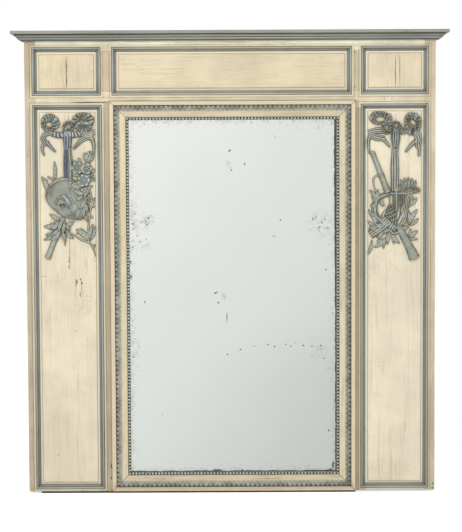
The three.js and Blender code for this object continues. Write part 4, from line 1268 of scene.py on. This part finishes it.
def carving_paint():
    """Grey-blue paint gone green and brown: dark hollows of grime and painted shade, pale crests of
    wear and painted highlight, painted shade in crevices, bluer accents.
    """
    shader = Shader("carving_paint")
    accent = shader.attribute("accent")
    patch = shader.noise(26, 61)
    fine = shader.noise(260, 63)
    tone = shader.attribute("crest") + (patch - 0.5) * 0.65 + (fine - 0.5) * 0.7
    middle = shader.mix(shader.smooth(patch, 0.4, 0.62), rgb(142, 145, 127), rgb(134, 141, 136))
    middle = shader.mix(accent, middle, rgb(118, 127, 140))
    deep = shader.mix(accent, rgb(60, 61, 49), rgb(46, 53, 74))
    shader.colour = shader.mix(shader.smooth(tone, 0.0, 0.45), deep, middle)
    shader.coat(shader.smooth(tone, 0.5, 1.0), rgb(188, 190, 174))
    # Painted shade, with grime, in the carving's crevices
    shader.coat(shader.smooth(shader.crevice(12 * MM), 0.7, 0.15) * 0.75, rgb(58, 54, 42))
    shader.coat(shader.smooth(shader.noise(120, 65), 0.68, 0.73) * 0.6, rgb(214, 203, 174))
    return shader.finish(shader.smooth(patch, 0.0, 1.0, 0.95), fine)


def left_ribbon(material):
    """A bow of two gathered loops with a knot ring, its tails, and a long hanging ribbon."""
    carving = Carving("side_left")
    carving.ribbon(
        [(-50, -74), (-78, -80), (-88, -98), (-76, -120)], (15, 18, 20, 16), 7, folds=3, accent=0.6
    )
    carving.ribbon([(-80, -106), (-92, -130), (-85, -158)], (16, 13, 7), 5)
    carving.ribbon([(-74, -108), (-62, -126), (-43, -145)], (15, 13, 6), 6, accent=0.3)
    carving.ribbon([(44, -76), (74, -82), (101, -72)], (18, 24, 18), 7, folds=3)
    carving.ribbon([(94, -88), (58, -98), (23, -134)], (24, 21, 8), 7, folds=3)
    carving.ribbon([(82, -82), (96, -116), (97, -158)], (20, 15, 8), 6)
    carving.loop((-62, -39, 35, 32), (-66, -45, 12, 10), 13)
    carving.loop((59, -37, 41, 36), (54, -38, 6, 12), 16, slant=-7)
    carving.ribbon(
        [(-58, -78), (-30, -84), (2, -80), (30, -83), (54, -76)],
        (19, 22, 20, 22, 18), 10, pleats=9, accent=0.5,
    )
    carving.loop((4, -54, 21, 21), (4, -53, 9, 9), 9, accent=0.3, lift=9)
    carving.ribbon([(2, -70), (1, -100), (1, -138)], (36, 32, 25), 11, folds=3, accent=0.8, rub=0.8)
    carving.ribbon([(-7, -132), (-8, -180), (-8, -238)], (10, 13, 12), 9, accent=1.0, rub=0.5)
    carving.ribbon([(7, -132), (10, -200), (9, -286)], (13, 17, 13), 11.5)
    carving.finish("ribbon_left_carved", "ribbon_left", material)


PALETTE_OUTLINE = [
    (-5, -237), (-27, -240), (-47, -248), (-67, -266), (-78, -287), (-82, -304), (-75, -328),
    (-55, -351), (-21, -378), (16, -390), (46, -392), (62, -376), (68, -340), (66, -300),
    (48, -266), (20, -246),
]
# Leaves of the left trophy: foot x, foot z, tip x, tip z, width and bend, mm
LEAVES_LEFT = [
    (-48, -254, -48, -179, 14, -3), (-44, -248, -74, -234, 10, 2), (-74, -296, -95, -234, 19, -5),
    (-70, -300, -76, -244, 13, 4), (-24, -392, -68, -371, 16, 3), (-34, -428, -90, -417, 20, -4),
    (-38, -434, -89, -467, 13, 6), (-14, -432, 23, -398, 18, 4), (-8, -436, 20, -462, 15, -3),
    (-12, -430, -13, -489, 9, 2), (82, -360, 99, -312, 15, 4), (76, -470, 28, -427, 24, -5),
    (76, -468, 91, -409, 14, 3), (80, -470, 101, -414, 13, -3), (60, -300, 92, -268, 14, 4),
    (66, -330, 98, -348, 13, 4), (64, -352, 92, -388, 13, -4), (40, -280, 22, -262, 12, 2),
    (-20, -410, -52, -398, 12, 3), (30, -446, 52, -424, 12, 2), (88, -500, 100, -482, 9, 1),
    (50, -232, 12, -222, 14, 2), (88, -226, 101, -208, 12, 1), (84, -244, 101, -250, 12, -1),
    (40, -190, 18, -176, 13, 2), (50, -186, 40, -166, 12, 1), (-60, -440, -84, -448, 10, 1),
    (-40, -412, -64, -404, 12, 2), (-10, -430, 6, -404, 13, 2), (72, -400, 60, -372, 12, 2),
]
# Leaves that lie over the palette and the roll: foot x, foot z, tip x, tip z and width
LEAVES_OVER_PALETTE = [
    (-22, -390, -36, -436, 14), (-32, -396, -54, -432, 13), (-12, -396, -20, -446, 13),
    (-36, -412, -66, -426, 13), (-12, -410, 8, -430, 12), (-26, -430, -48, -466, 13),
    (-20, -434, -12, -468, 12), (-36, -426, -60, -452, 12), (56, -300, 20, -284, 15),
    (58, -304, 30, -322, 15), (62, -322, 48, -352, 16), (60, -296, 34, -300, 12),
    (64, -330, 70, -366, 15), (50, -276, 10, -268, 12), (44, -352, 30, -388, 14),
    (58, -344, 58, -384, 13),
]

# Flowers of the left trophy: x, z and radius in mm, petals, blueness, and what it lies on in mm
FLOWERS_LEFT = [
    (35, -204, 24, 6, 0.35, 0), (70, -207, 22, 5, 0.0, 0), (58, -250, 25, 7, 0.3, 2),
    (34, -268, 15, 5, 0.1, 5.5), (86, -238, 13, 5, 0.0, 0), (62, -290, 16, 5, 0.1, 5.5),
    (72, -322, 12, 5, 0.2, 3), (12, -264, 10, 5, 0.0, 5.5),
]
BRUSH_HAIR_FOOT = (10, -330)
BRUSH_HAIR_TIPS = ((14, -372), (24, -378), (36, -374), (46, -366), (54, -354))


def left_trophy(material):
    """A painter's trophy: palette, brushes, roll, flowers and sprays of leaves."""
    carving = Carving("side_left")
    for foot_x, foot_z, tip_x, tip_z, width, bend in LEAVES_LEFT:
        carving.leaf((foot_x, foot_z), (tip_x, tip_z), width, bend=bend)
    carving.rod((-18, -386), (-76, -533), (10, 11), rings=(0.98,), height=0.8)
    carving.rod((-47, -452), (-53, -468), (12, 12), rings=(0.3, 0.8), height=0.9)
    carving.ribbon([(-25, -424), (-50, -436), (-68, -452), (-89, -467)], (10, 11, 9, 4), 6)
    carving.ribbon(
        [(-32, -420), (19, -448), (48, -467), (78, -478), (92, -502), (100, -528)],
        (6, 6, 7, 7, 6, 3), 4, folds=1,
    )
    carving.ribbon(
        [(62, -262), (84, -300), (80, -370), (72, -440), (76, -478)], (6, 7, 7, 7, 6), 4, folds=1
    )
    carving.ribbon([(50, -250), (66, -220), (76, -184)], (6, 6, 5), 5, folds=1)
    carving.plate(PALETTE_OUTLINE, (-19, -341, 10, 4), 6.2)
    carving.ribbon(
        [(-44, -332), (-34, -314), (-12, -310), (6, -326), (10, -352)],
        (6, 10, 12, 11, 6), 11, low=6.5,
    )
    carving.rod((-16, -302), (14, -350), (5, 6.5), rings=(0.7, 0.85), lift=6.5, accent=1.0)
    carving.rod((2, -296), (36, -372), (4, 3), rings=(0.3,), lift=6.5, accent=0.8)
    for tip in BRUSH_HAIR_TIPS:
        carving.leaf(BRUSH_HAIR_FOOT, tip, 11, lift=11, veins=1, accent=0.4, base=6)
    for foot_x, foot_z, tip_x, tip_z, width in LEAVES_OVER_PALETTE:
        carving.leaf((foot_x, foot_z), (tip_x, tip_z), width, lift=11.5, veins=4, base=6)
    for x, z, radius, petals, accent, base in FLOWERS_LEFT:
        carving.flower(x, z, radius, petals, lift=11, accent=accent, base=base)
    carving.leaf((70, -186), (84, -142), 27, lift=10, veins=3)
    carving.leaf((78, -186), (97, -152), 15, lift=8, veins=3)
    carving.leaf((66, -182), (62, -148), 15, lift=8, veins=3)
    carving.flower(-25, -430, 11, 4, lift=8)
    carving.finish("trophy_left_carved", "trophy_left", material)


def right_ribbon(material):
    """The other bow: an open pleated loop, a coil, a round loop, tails and a narrow ribbon."""
    carving = Carving("side_right")
    carving.ribbon([(-30, -76), (-62, -72), (-95, -80)], (18, 23, 19), 6, folds=3)
    carving.ribbon([(-95, -84), (-66, -98), (-36, -102)], (18, 25, 18), 7, folds=3)
    carving.ribbon([(-44, -102), (-32, -114), (-18, -132)], (15, 13, 7), 6)
    carving.ribbon([(-90, -88), (-96, -118), (-93, -156)], (15, 14, 8), 5)
    carving.ribbon([(78, -78), (87, -104), (86, -136)], (26, 27, 20), 7, folds=3)
    carving.ribbon([(82, -110), (62, -124), (40, -151)], (18, 15, 7), 6)
    carving.ribbon([(87, -124), (90, -146), (88, -167)], (16, 13, 7), 6)
    carving.loop((-52, -27, 41, 25), (-52, -31, 19, 9), 16)
    carving.loop((-29, -62, 18, 27), (-30, -62, 6, 12), 10)
    carving.loop((66, -48, 32, 43), (67, -44, 10, 12), 17, slant=-7)
    carving.ribbon([(18, -72), (32, -78), (54, -76)], (14, 15, 12), 7, pleats=8)
    carving.loop((26, -73, 13, 15), (25, -74, 4, 5), 10, lift=8)
    carving.loop((5, -55, 18, 18), (5, -54, 8, 8), 9, lift=9)
    carving.ribbon([(4, -66), (3, -98), (3, -130)], (24, 35, 22), 11, folds=4, accent=0.6)
    carving.ribbon([(1, -140), (1, -210), (1, -292)], (22, 31, 26), 10, folds=3, accent=0.3)
    carving.ribbon([(6, -284), (6, -366)], (16, 13), 12, accent=0.2)
    carving.flower(3, -138, 12, 6, lift=12)
    carving.ribbon([(6, -362), (4, -400), (1, -436)], (4, 3, 3), 8, folds=1)
    carving.finish("ribbon_right_carved", "ribbon_right", material)


# Leaves of the right trophy: foot x, foot z, tip x, tip z, width and bend, mm
LEAVES_RIGHT = [
    (-62, -332, -92, -288, 15, -4), (-58, -330, -60, -286, 12, 3), (-60, -336, -84, -312, 10, 2),
    (-66, -420, -96, -360, 17, -5), (-70, -428, -100, -402, 13, -2), (-62, -410, -70, -362, 12, 3),
    (-34, -464, -74, -500, 17, 4), (-30, -462, -40, -504, 13, -3), (-82, -470, -98, -526, 14, 4),
    (-28, -440, -26, -490, 14, 3), (-8, -446, 20, -486, 16, -4), (-14, -444, -2, -488, 10, 2),
    (52, -350, 82, -317, 14, -3), (54, -352, 70, -312, 10, 2), (50, -418, 84, -360, 18, 4),
    (54, -420, 88, -392, 13, -3), (48, -410, 54, -364, 12, -2), (56, -466, 86, -438, 15, 3),
    (52, -462, 60, -430, 11, -2), (50, -470, 86, -470, 11, 2), (-44, -470, -66, -476, 11, 2),
]
# Leaves that lie over the lyre and its foot: foot x, foot z, tip x, tip z and width
LEAVES_OVER_LYRE = [
    (-20, -424, -52, -402, 15), (-14, -430, -44, -444, 14), (18, -420, 44, -394, 14),
    (24, -432, 52, -424, 13), (-52, -322, -40, -350, 13), (-64, -350, -88, -344, 12),
    (-62, -376, -90, -380, 13), (30, -340, 26, -380, 12), (-40, -424, -72, -416, 16),
    (-46, -434, -78, -440, 16), (-60, -426, -94, -428, 14), (-40, -440, -62, -466, 15),
]
# Feathery plumes above the right arm of the lyre: foot x, foot z, tip x, tip z and width
PLUMES = [
    (40, -292, 22, -250, 11), (46, -290, 36, -244, 12), (54, -288, 50, -242, 13),
    (62, -286, 64, -246, 12), (68, -288, 78, -254, 11), (36, -296, 18, -268, 9),
    (34, -306, 22, -286, 9),
]
LYRE_STRINGS = (-18, -6, 20, 32)


def right_trophy(material):
    """A musician's trophy: flute, lyre with its net, horn, and sprays of leaves."""
    carving = Carving("side_right")
    for foot_x, foot_z, tip_x, tip_z, width, bend in LEAVES_RIGHT:
        carving.leaf((foot_x, foot_z), (tip_x, tip_z), width, bend=bend)
    for foot_x, foot_z, tip_x, tip_z, width in PLUMES:
        carving.leaf((foot_x, foot_z), (tip_x, tip_z), width, lift=9, veins=4)
    carving.ribbon(
        [(-46, -234), (-62, -234), (-77, -250), (-74, -278), (-66, -300)],
        (5, 6, 6, 5, 4), 4, folds=1,
    )
    carving.ribbon([(-66, -300), (-64, -330), (-72, -380), (-70, -430)], (5, 7, 7, 6), 5, folds=1)
    # The flute
    carving.rod((-82, -150), (-24, -298), (8.5, 11.5), rings=(0.02, 0.1, 0.56, 0.6, 0.9, 0.97))
    carving.ribbon([(32, -342), (29, -380), (14, -412)], (16, 21, 14), 6, folds=1)
    carving.ribbon([(-34, -366), (-42, -388), (-26, -408)], (10, 16, 12), 5, folds=1)
    carving.net([(-20, -342), (10, -350), (6, -412), (-42, -378)], 6.0, 3)
    carving.net([(16, -328), (34, -286), (50, -298), (32, -340)], 6.5, 2)
    carving.ribbon([(-16, -302), (14, -302), (46, -300)], (12, 13, 12), 8)
    carving.ribbon(
        [(-20, -303), (-54, -316), (-72, -342), (-66, -384), (-34, -414)], (17, 21, 23, 23, 19), 6.5
    )
    carving.beads([(-28, -306), (-56, -318), (-74, -344), (-68, -384), (-40, -412)], 3.0, 24, 6.0)
    carving.ribbon(
        [(82, -296), (62, -298), (46, -318), (42, -356), (32, -396), (10, -430)],
        (10, 16, 18, 19, 18, 14), 7, folds=3,
    )
    carving.flower(84, -290, 11, 4, lift=9)
    for x in LYRE_STRINGS:
        carving.ribbon([(x, -306), (x, -352)], (3, 3), 5, folds=1)
    carving.ribbon([(-46, -390), (-24, -412), (2, -432)], (24, 28, 24), 8, pleats=7)
    carving.ribbon([(-30, -414), (-58, -432), (-88, -452)], (30, 38, 32), 8, folds=4)
    # The horn and its mouth
    carving.rod((16, -424), (66, -520), (13, 16), rings=(0.05, 0.36, 0.8), flutes=6, height=0.7)
    carving.rod((61, -510), (73, -538), (17, 20), rings=(0.1, 0.95), height=0.6, rub=0.85)
    carving.ribbon([(-18, -436), (0, -448), (21, -438)], (11, 8, 11), 9, folds=1, accent=0.4)
    for foot_x, foot_z, tip_x, tip_z, width in LEAVES_OVER_LYRE:
        carving.leaf((foot_x, foot_z), (tip_x, tip_z), width, lift=10.5, veins=4, base=4)
    carving.finish("trophy_right_carved", "trophy_right", material)


# ---------------------------------------------------------------- mirror plate
SPOT_SPREAD = 1.7  # soft edge of a spot, over its dark heart
# Painted reflection on the glass, lighter at the top left and darker to the bottom right
GLASS_REFLECTION_TOP_LEFT = rgb(236, 238, 235)
GLASS_REFLECTION_MIDDLE = rgb(221, 226, 221)
GLASS_REFLECTION_BOTTOM_RIGHT = rgb(196, 201, 196)
SILVER_LOST = rgb(58, 60, 54)
DARK_SPOTS = [  # photo x, photo y, width and height in mm
    (229, 151, 6, 6), (231.4, 170.2, 6, 5), (215.3, 293, 6, 6), (218.4, 302.5, 5, 5),
    (227.4, 354.3, 5, 4), (240.5, 349.4, 5, 4), (267.9, 344.5, 7, 4), (274.4, 346.4, 6, 5),
    (303.3, 345.5, 6, 5), (324.4, 358.3, 5, 4), (320.7, 345.4, 5, 5), (280.5, 220, 5, 5),
    (148.6, 218, 7, 6), (145.4, 221, 4, 5), (150.8, 216, 4, 4), (147, 224.5, 4, 5),
    (316, 217, 4, 3), (322, 223, 6, 3), (328, 228, 5, 4), (319, 231, 3, 4), (139.8, 242, 4, 4),
    (146, 239, 4, 3), (131, 277, 5, 13), (130.7, 262, 4, 10), (325.8, 269.7, 5, 5),
    (144.8, 302, 5, 5), (328.9, 430.2, 5, 6), (133.2, 357, 4, 6), (162.6, 414.6, 3, 2),
    (227, 317, 3, 34), (333.8, 463.2, 6, 8), (330.7, 469.0, 10, 5), (217, 470.0, 34, 4),
    (242.3, 470.0, 8, 5), (133.5, 229, 4, 6), (135, 214, 5, 4), (133, 247, 5, 4), (142, 222, 4, 4),
    (153, 222, 4, 4), (137, 236, 3, 5), (296, 343, 4, 3), (286, 344.5, 5, 3), (254, 346, 4, 3),
    (230.3, 150.2, 6, 5), (217, 292, 5, 4), (244.5, 164, 3, 9), (313, 219, 4, 12),
    (325, 219.5, 5, 5), (333, 465, 6, 26), (328, 470.2, 26, 5), (312, 346, 6, 4), (291, 346, 6, 3),
    (133, 224, 5, 7), (273.5, 236.3, 8, 2), (319.5, 227, 9, 4),
]
FAINT_SPOTS = [  # misted places, placed in the same way
    (244.2, 163.9, 16, 12), (273.9, 136.5, 20, 9), (296.5, 128.6, 14, 10), (319, 128, 12, 16),
    (274, 236, 12, 14), (328, 368.6, 34, 10), (331.4, 124.3, 18, 22), (224, 297, 18, 34),
    (146, 222, 56, 60), (321, 224, 84, 88), (134.5, 228, 34, 150), (319, 352, 60, 40),
    (136, 350, 30, 60), (229, 165, 20, 46), (142, 246, 60, 40),
]


def silvered_glass():
    """Old mirror: a painted reflection from light at the top left to darker at the bottom right,
    mottled by uneven silvering, with foxing, specks near its edges, and a dark strip right and low
    of lost silver and a painted reflection of the frame's rebate.
    """
    shader = Shader("silvered_glass", Metallic=1.0)
    sight = rect_of("mirror_plate", -PLATE_LAP)
    x0, x1, z0, z1 = sight
    clouds = shader.noise(3.2, 71)
    # Painted reflection: lighter at the top left, darker to the bottom right, with uneven silvering
    reflection_fade = shader.ramp(shader.x, x0, x1) * 0.4 + shader.ramp(shader.z, z1, z0) * 0.6
    reflection_fade = reflection_fade + (clouds - 0.5) * 0.18
    shader.colour = shader.mix(shader.smooth(reflection_fade, 0.0, 0.5), GLASS_REFLECTION_TOP_LEFT, GLASS_REFLECTION_MIDDLE)
    shader.coat(shader.smooth(reflection_fade, 0.45, 1.0), GLASS_REFLECTION_BOTTOM_RIGHT)

    faint = shader.spots(photo_ovals(FAINT_SPOTS, glass_y, SPOT_SPREAD), 0.1)
    mist = shader.smooth(shader.noise(260, 73, detail=2), 0.5, 0.68)
    patchy = shader.smooth(shader.noise(75, 74), 0.4, 0.62)
    shader.coat(faint * (shader.math("MAXIMUM", mist, 0.25) * patchy) * 0.7, rgb(112, 115, 108))

    inside = shader.outside(sight) * -1.0
    near_edge = shader.smooth(inside, 75 * MM, 0.0)
    specks = shader.smooth(shader.noise(230, 75, detail=2) - (0.76 - near_edge * 0.13), 0.0, 0.05)
    shader.coat(shader.smooth(inside, 22 * MM, 2 * MM) * patchy * 0.22, rgb(128, 131, 125))
    shader.coat(specks * 0.6, rgb(96, 98, 92))
    spots = shader.spots(photo_ovals(DARK_SPOTS, glass_y, SPOT_SPREAD), 0.35)
    shader.coat(spots * 0.85, SILVER_LOST)

    # Dark strip right and low: lost silver and a painted reflection of the frame's rebate
    ragged = (shader.noise(34, 77) - 0.5) * (7 * MM)
    strip_width = 4.0 * MM + shader.smooth(shader.z, z0 + 0.45, z1 - 0.1) * (3.5 * MM)
    right_strip = shader.smooth(x1 - shader.x + ragged - strip_width, 1 * MM, -1 * MM)
    low_strip = shader.smooth(shader.z - z0 + ragged, 5.0 * MM, 2.5 * MM)
    shader.coat(shader.math("MAXIMUM", right_strip, low_strip) * 0.95, rgb(62, 67, 63))
    roughness = shader.smooth(clouds, 0.3, 0.9, 0.06) + spots * 0.3
    return shader.finish(roughness, shader.noise(9, 79, detail=1), 0.0006)


# ---------------------------------------------------------------- back, sole and hangers
def old_board(name, grain, light, planks=()):
    """Bare old wood. Each plank begins at an x, and is darker by its share."""
    shader = Shader(name)
    shader.colour = bare_wood_colour(shader, grain, light)
    darker = 0.0
    before = 0.0
    for start, share in planks:
        darker = darker + shader.smooth(shader.x, start - 1 * MM, start + 1 * MM, share - before)
        before = share
    shader.coat(darker, shaded(light, 0.3))
    # Painted shade in the corners
    shader.coat(shader.smooth(shader.crevice(20 * MM), 0.75, 0.25) * 0.7, shaded(light, 0.25))
    rub = shader.smooth(shader.noise(28, 83), 0.5, 0.75)
    shader.coat(shader.edges(1.5 * MM) * rub * 0.6, shaded(light, 1.5))
    fine = shader.noise(360, 85, stretch=GRAIN[grain])
    return shader.finish(shader.smooth(fine, 0.0, 0.6, 0.85), fine, 0.0007)


def rusty_iron():
    shader = Shader("rusty_iron")
    rust = shader.noise(140, 91, detail=4)
    fine = shader.noise(700, 93)
    rusted = shader.smooth(rust, 0.42, 0.6)
    shader.colour = shader.mix(rusted, rgb(74, 70, 66), rgb(112, 70, 44))
    shader.coat(shader.smooth(fine, 0.5, 0.8, 0.6), rgb(52, 44, 38))
    shader.feed(shader.surface.inputs["Metallic"], 0.9 - rusted * 0.8)
    return shader.finish(0.4 + rusted * 0.4, rust + fine, 0.0005)


def dress_back(iron):
    dress("mirror_plate", silvered_glass(), 0)
    dress("sole_strip", old_board("sole_wood", "X", rgb(82, 74, 62)), 0.6 * MM)
    for side in UPRIGHT:
        dress(f"hanger_strap_{side}", iron, 0.25 * MM)
        dress_round(f"hanger_ring_{side}", iron, 60)


PLANK_COUNT = 6
PLANK_GROOVE = 1.6
PLANK_BEVEL = 2.5 * MM
BATTEN_ARRIS = 1.2 * MM
COUNTERSINK_RADIUS = 5.2 * MM
COUNTERSINK_WALL = 2.2 * MM  # width of its slope
COUNTERSINK_DEPTH = 1.6 * MM
SCREW_RADIUS = 3.6
SCREW_SIDES = 24
SCREW_PROFILE = ((1.0, 0.0), (1.0, 0.45), (0.86, 0.85), (0.5, 1.0))  # shares of its radius and rise
SLOT_HALF = 0.196  # share of its radius
SCREW_SINK = 1.85  # under the back of a batten
BATTEN_SCREW_RISE = 0.9
STRAP_SCREW_RISE = 1.6
STRAP_FACE = 2.0  # back of a strap, behind the stiles


def backboard():
    """Vertical planks with bevelled joints, seen from behind between the battens."""
    x0, x1, z0, z1 = rect_of("backboard")
    low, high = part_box("backboard")
    random = np.random.default_rng(7)
    width = (x1 - x0) / PLANK_COUNT
    joints = [x0 + width * (k + random.uniform(-0.12, 0.12)) for k in range(1, PLANK_COUNT)]
    extra = []
    for joint in joints:
        extra += [joint - PLANK_BEVEL, joint, joint + PLANK_BEVEL]
    x_lines = lines_between(x0, x1, 22 * MM, extra)
    z_lines = lines_between(z0, z1, 45 * MM)

    def rear(xs, zs):
        depth = waves(xs, zs, 17, 0.3, 0.35 * MM) + 0.4 * MM
        for joint in joints:
            away = np.abs(xs - joint) / PLANK_BEVEL
            depth = depth + PLANK_GROOVE * MM * np.clip(1 - away, 0, 1)
        return high.y - depth

    planks = [(joint, random.uniform(0, 0.4)) for joint in joints]
    wood = old_board("plank_wood", "Z", rgb(190, 160, 120), planks)
    made = board("backboard_planks", x_lines, z_lines, rear, low.y, wood)
    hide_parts("backboard")


def screw(points, place, rise, turn):
    """Adds a slotted screw head that faces back, and gives its faces."""
    x, y, z = place
    radius = SCREW_RADIUS * MM
    heads = []
    for share, lift in SCREW_PROFILE:
        for k in range(SCREW_SIDES):
            angle = 2 * math.pi * k / SCREW_SIDES
            local_x = share * radius * math.cos(angle)
            local_z = share * radius * math.sin(angle)
            sunk = 0.5 if abs(local_z) < SLOT_HALF * radius else 0.0
            heads.append((local_x, max(0.0, lift - sunk), local_z))
    heads.append((0.0, 0.5, 0.0))
    start = len(points)
    for local_x, lift, local_z in heads:
        turned_x = local_x * math.cos(turn) - local_z * math.sin(turn)
        turned_z = local_x * math.sin(turn) + local_z * math.cos(turn)
        points.append((x + turned_x, y + lift * rise, z + turned_z))
    return capped_rings(len(SCREW_PROFILE), SCREW_SIDES, start)


def batten(name, screw_xs):
    """A batten planed by hand, with a countersink round each screw."""
    x0, x1, z0, z1 = rect_of(name)
    low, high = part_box(name)
    middle = (z0 + z1) / 2
    steps = [sign * r * MM for r in (0, 1.8, 3.4, 4.4, 5.6, 7) for sign in (-1, 1)]
    extra_x = [x + step for x in screw_xs for step in steps] + [x0 + BATTEN_ARRIS, x1 - BATTEN_ARRIS]
    extra_z = [middle + step for step in steps] + [z0 + BATTEN_ARRIS, z1 - BATTEN_ARRIS]

    def rear(xs, zs):
        depth = 0.25 * MM + waves(xs, zs, len(name), 0.2, 0.22 * MM)
        inside = edge_distance(xs, zs, (x0, x1, z0, z1))
        depth = depth + 1.0 * MM * np.clip(1 - inside / BATTEN_ARRIS, 0, 1)
        for x in screw_xs:
            within = COUNTERSINK_RADIUS - np.hypot(xs - x, zs - middle)
            depth = depth + COUNTERSINK_DEPTH * np.clip(within / COUNTERSINK_WALL, 0, 1)
        return high.y - depth

    x_lines = lines_between(x0, x1, 26 * MM, extra_x)
    z_lines = lines_between(z0, z1, 8 * MM, extra_z)
    wood = old_board(f"{name}_wood", "X", rgb(172, 146, 108))
    made = board(f"{name}_wood", x_lines, z_lines, rear, low.y, wood)
    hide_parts(name)
    return high.y - SCREW_SINK * MM, middle


# Places of a batten's screws across the back, m
BATTEN_SCREWS = (-0.70, -0.482, -0.40, 0.0, 0.41, 0.484, 0.705)
# Heights of a strap's screws over its lower end: below the hanging ring, and inside its bow
STRAP_SCREWS = (8, 35)


def back_details(iron):
    """Battens, planks, and the screws that hold the battens and the hanger straps."""
    backboard()
    places = []
    for name in ("batten_upper", "batten_lower"):
        y, z = batten(name, BATTEN_SCREWS)
        places += [((x, y, z), BATTEN_SCREW_RISE) for x in BATTEN_SCREWS]
    for side in UPRIGHT:
        low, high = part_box(f"hanger_strap_{side}")
        x = (low.x + high.x) / 2
        y = back_y + STRAP_FACE * MM
        places += [((x, y, low.z + height * MM), STRAP_SCREW_RISE) for height in STRAP_SCREWS]
    random = np.random.default_rng(11)
    points, faces = [], []
    for place, rise in places:
        faces += screw(points, place, rise * MM, random.uniform(0, math.pi))
    made = new_object("screws", points, faces, iron, sharp=35)


# ---------------------------------------------------------------- floor, lights and world
FLOOR_HALF = 9.0
DIRECT_RAYS = ("Is Glossy Ray", "Is Transmission Ray")  # beside the camera's own
FLOOR_TONE = rgb(243, 243, 241)
FLOOR_GLOW = 0.55


def stage_floor():
    """A pale floor that keeps the object's shadow, and glows a little where the camera sees it."""
    low, high = -FLOOR_HALF, FLOOR_HALF
    mesh = bpy.data.meshes.new("floor")
    corners = [(low, low, 0), (high, low, 0), (high, high, 0), (low, high, 0)]
    mesh.from_pydata(corners, [], [(0, 1, 2, 3)])
    floor = bpy.data.objects.new("floor", mesh)
    bpy.context.scene.collection.objects.link(floor)
    shader = Shader("floor", Roughness=0.9)
    path = shader.node("LightPath", {}).outputs
    seen = Wire(shader, path["Is Camera Ray"])
    for ray in DIRECT_RAYS:
        seen = shader.math("MAXIMUM", seen, Wire(shader, path[ray]))
    looks = {
        "Base Color": FLOOR_TONE,
        "Emission Color": WHITE,
        "Emission Strength": seen * FLOOR_GLOW,
    }
    for socket, value in looks.items():
        shader.feed(shader.surface.inputs[socket], value)
    mesh.materials.append(shader.material)
    floor.visible_glossy = False  # the glass shows the bright studio, not the floor's far edge


WORLD_LIGHT = 0.5
# Name, place, target and size in metres, and power in watts, of each area light
LIGHTS = (
    ("key", (-1.7, -4.2, 4.0), (0, 0, 0.9), 3.4, 152),
    ("fill", (3.2, -3.4, 1.6), (0, 0, 0.8), 2.4, 32),
)


def area_light(name, place, target, size, power):
    data = bpy.data.lights.new(name, "AREA")
    data.shape = "SQUARE"
    data.size = size
    data.energy = power
    light = bpy.data.objects.new(name, data)
    light.location = place
    aim = Vector(target) - Vector(place)
    light.rotation_euler = aim.to_track_quat("-Z", "Y").to_euler()
    bpy.context.scene.collection.objects.link(light)


def light_scene():
    """A plain soft world, seen as white, with a soft key from above and to the left."""
    world = bpy.data.worlds.new("studio")
    world.use_nodes = True
    tree = world.node_tree
    background = tree.nodes["Background"]
    path = tree.nodes.new("ShaderNodeLightPath")
    seen = path.outputs["Is Camera Ray"]
    for ray in DIRECT_RAYS:
        either = tree.nodes.new("ShaderNodeMath")
        either.operation = "MAXIMUM"
        tree.links.new(seen, either.inputs[0])
        tree.links.new(path.outputs[ray], either.inputs[1])
        seen = either.outputs[0]
    strength = tree.nodes.new("ShaderNodeMapRange")
    strength.inputs["To Min"].default_value = WORLD_LIGHT
    strength.inputs["To Max"].default_value = 1.0
    tree.links.new(seen, strength.inputs["Value"])
    tree.links.new(strength.outputs[0], background.inputs["Strength"])
    background.inputs["Color"].default_value = WHITE
    bpy.context.scene.world = world
    for light in LIGHTS:
        area_light(*light)


def build():
    make_camera()
    light_scene()
    stage_floor()
    dress_members()
    dress_mouldings()
    dress_cornice()
    for name in PANELS:
        panel(name)
    upright, level = (
        painted_wood(f"frame_paint_{grain}", cream, grain, paint_frame, corner_shade_and_dirt=0.9, worn=0.4)
        for grain, cream in (("Z", FRAME_CREAM), ("X", FRAME_CREAM_LEVEL))
    )
    pearls = pearl_paint()
    for side in SIDES:
        mirror_frame_member(side, upright if side in UPRIGHT else level)
        pearl_row(side, pearls)
    carved = carving_paint()
    for ornament in (left_ribbon, left_trophy, right_ribbon, right_trophy):
        ornament(carved)
    iron = rusty_iron()
    dress_back(iron)
    back_details(iron)


build()
bpy.context.scene.view_settings.view_transform = "Standard"
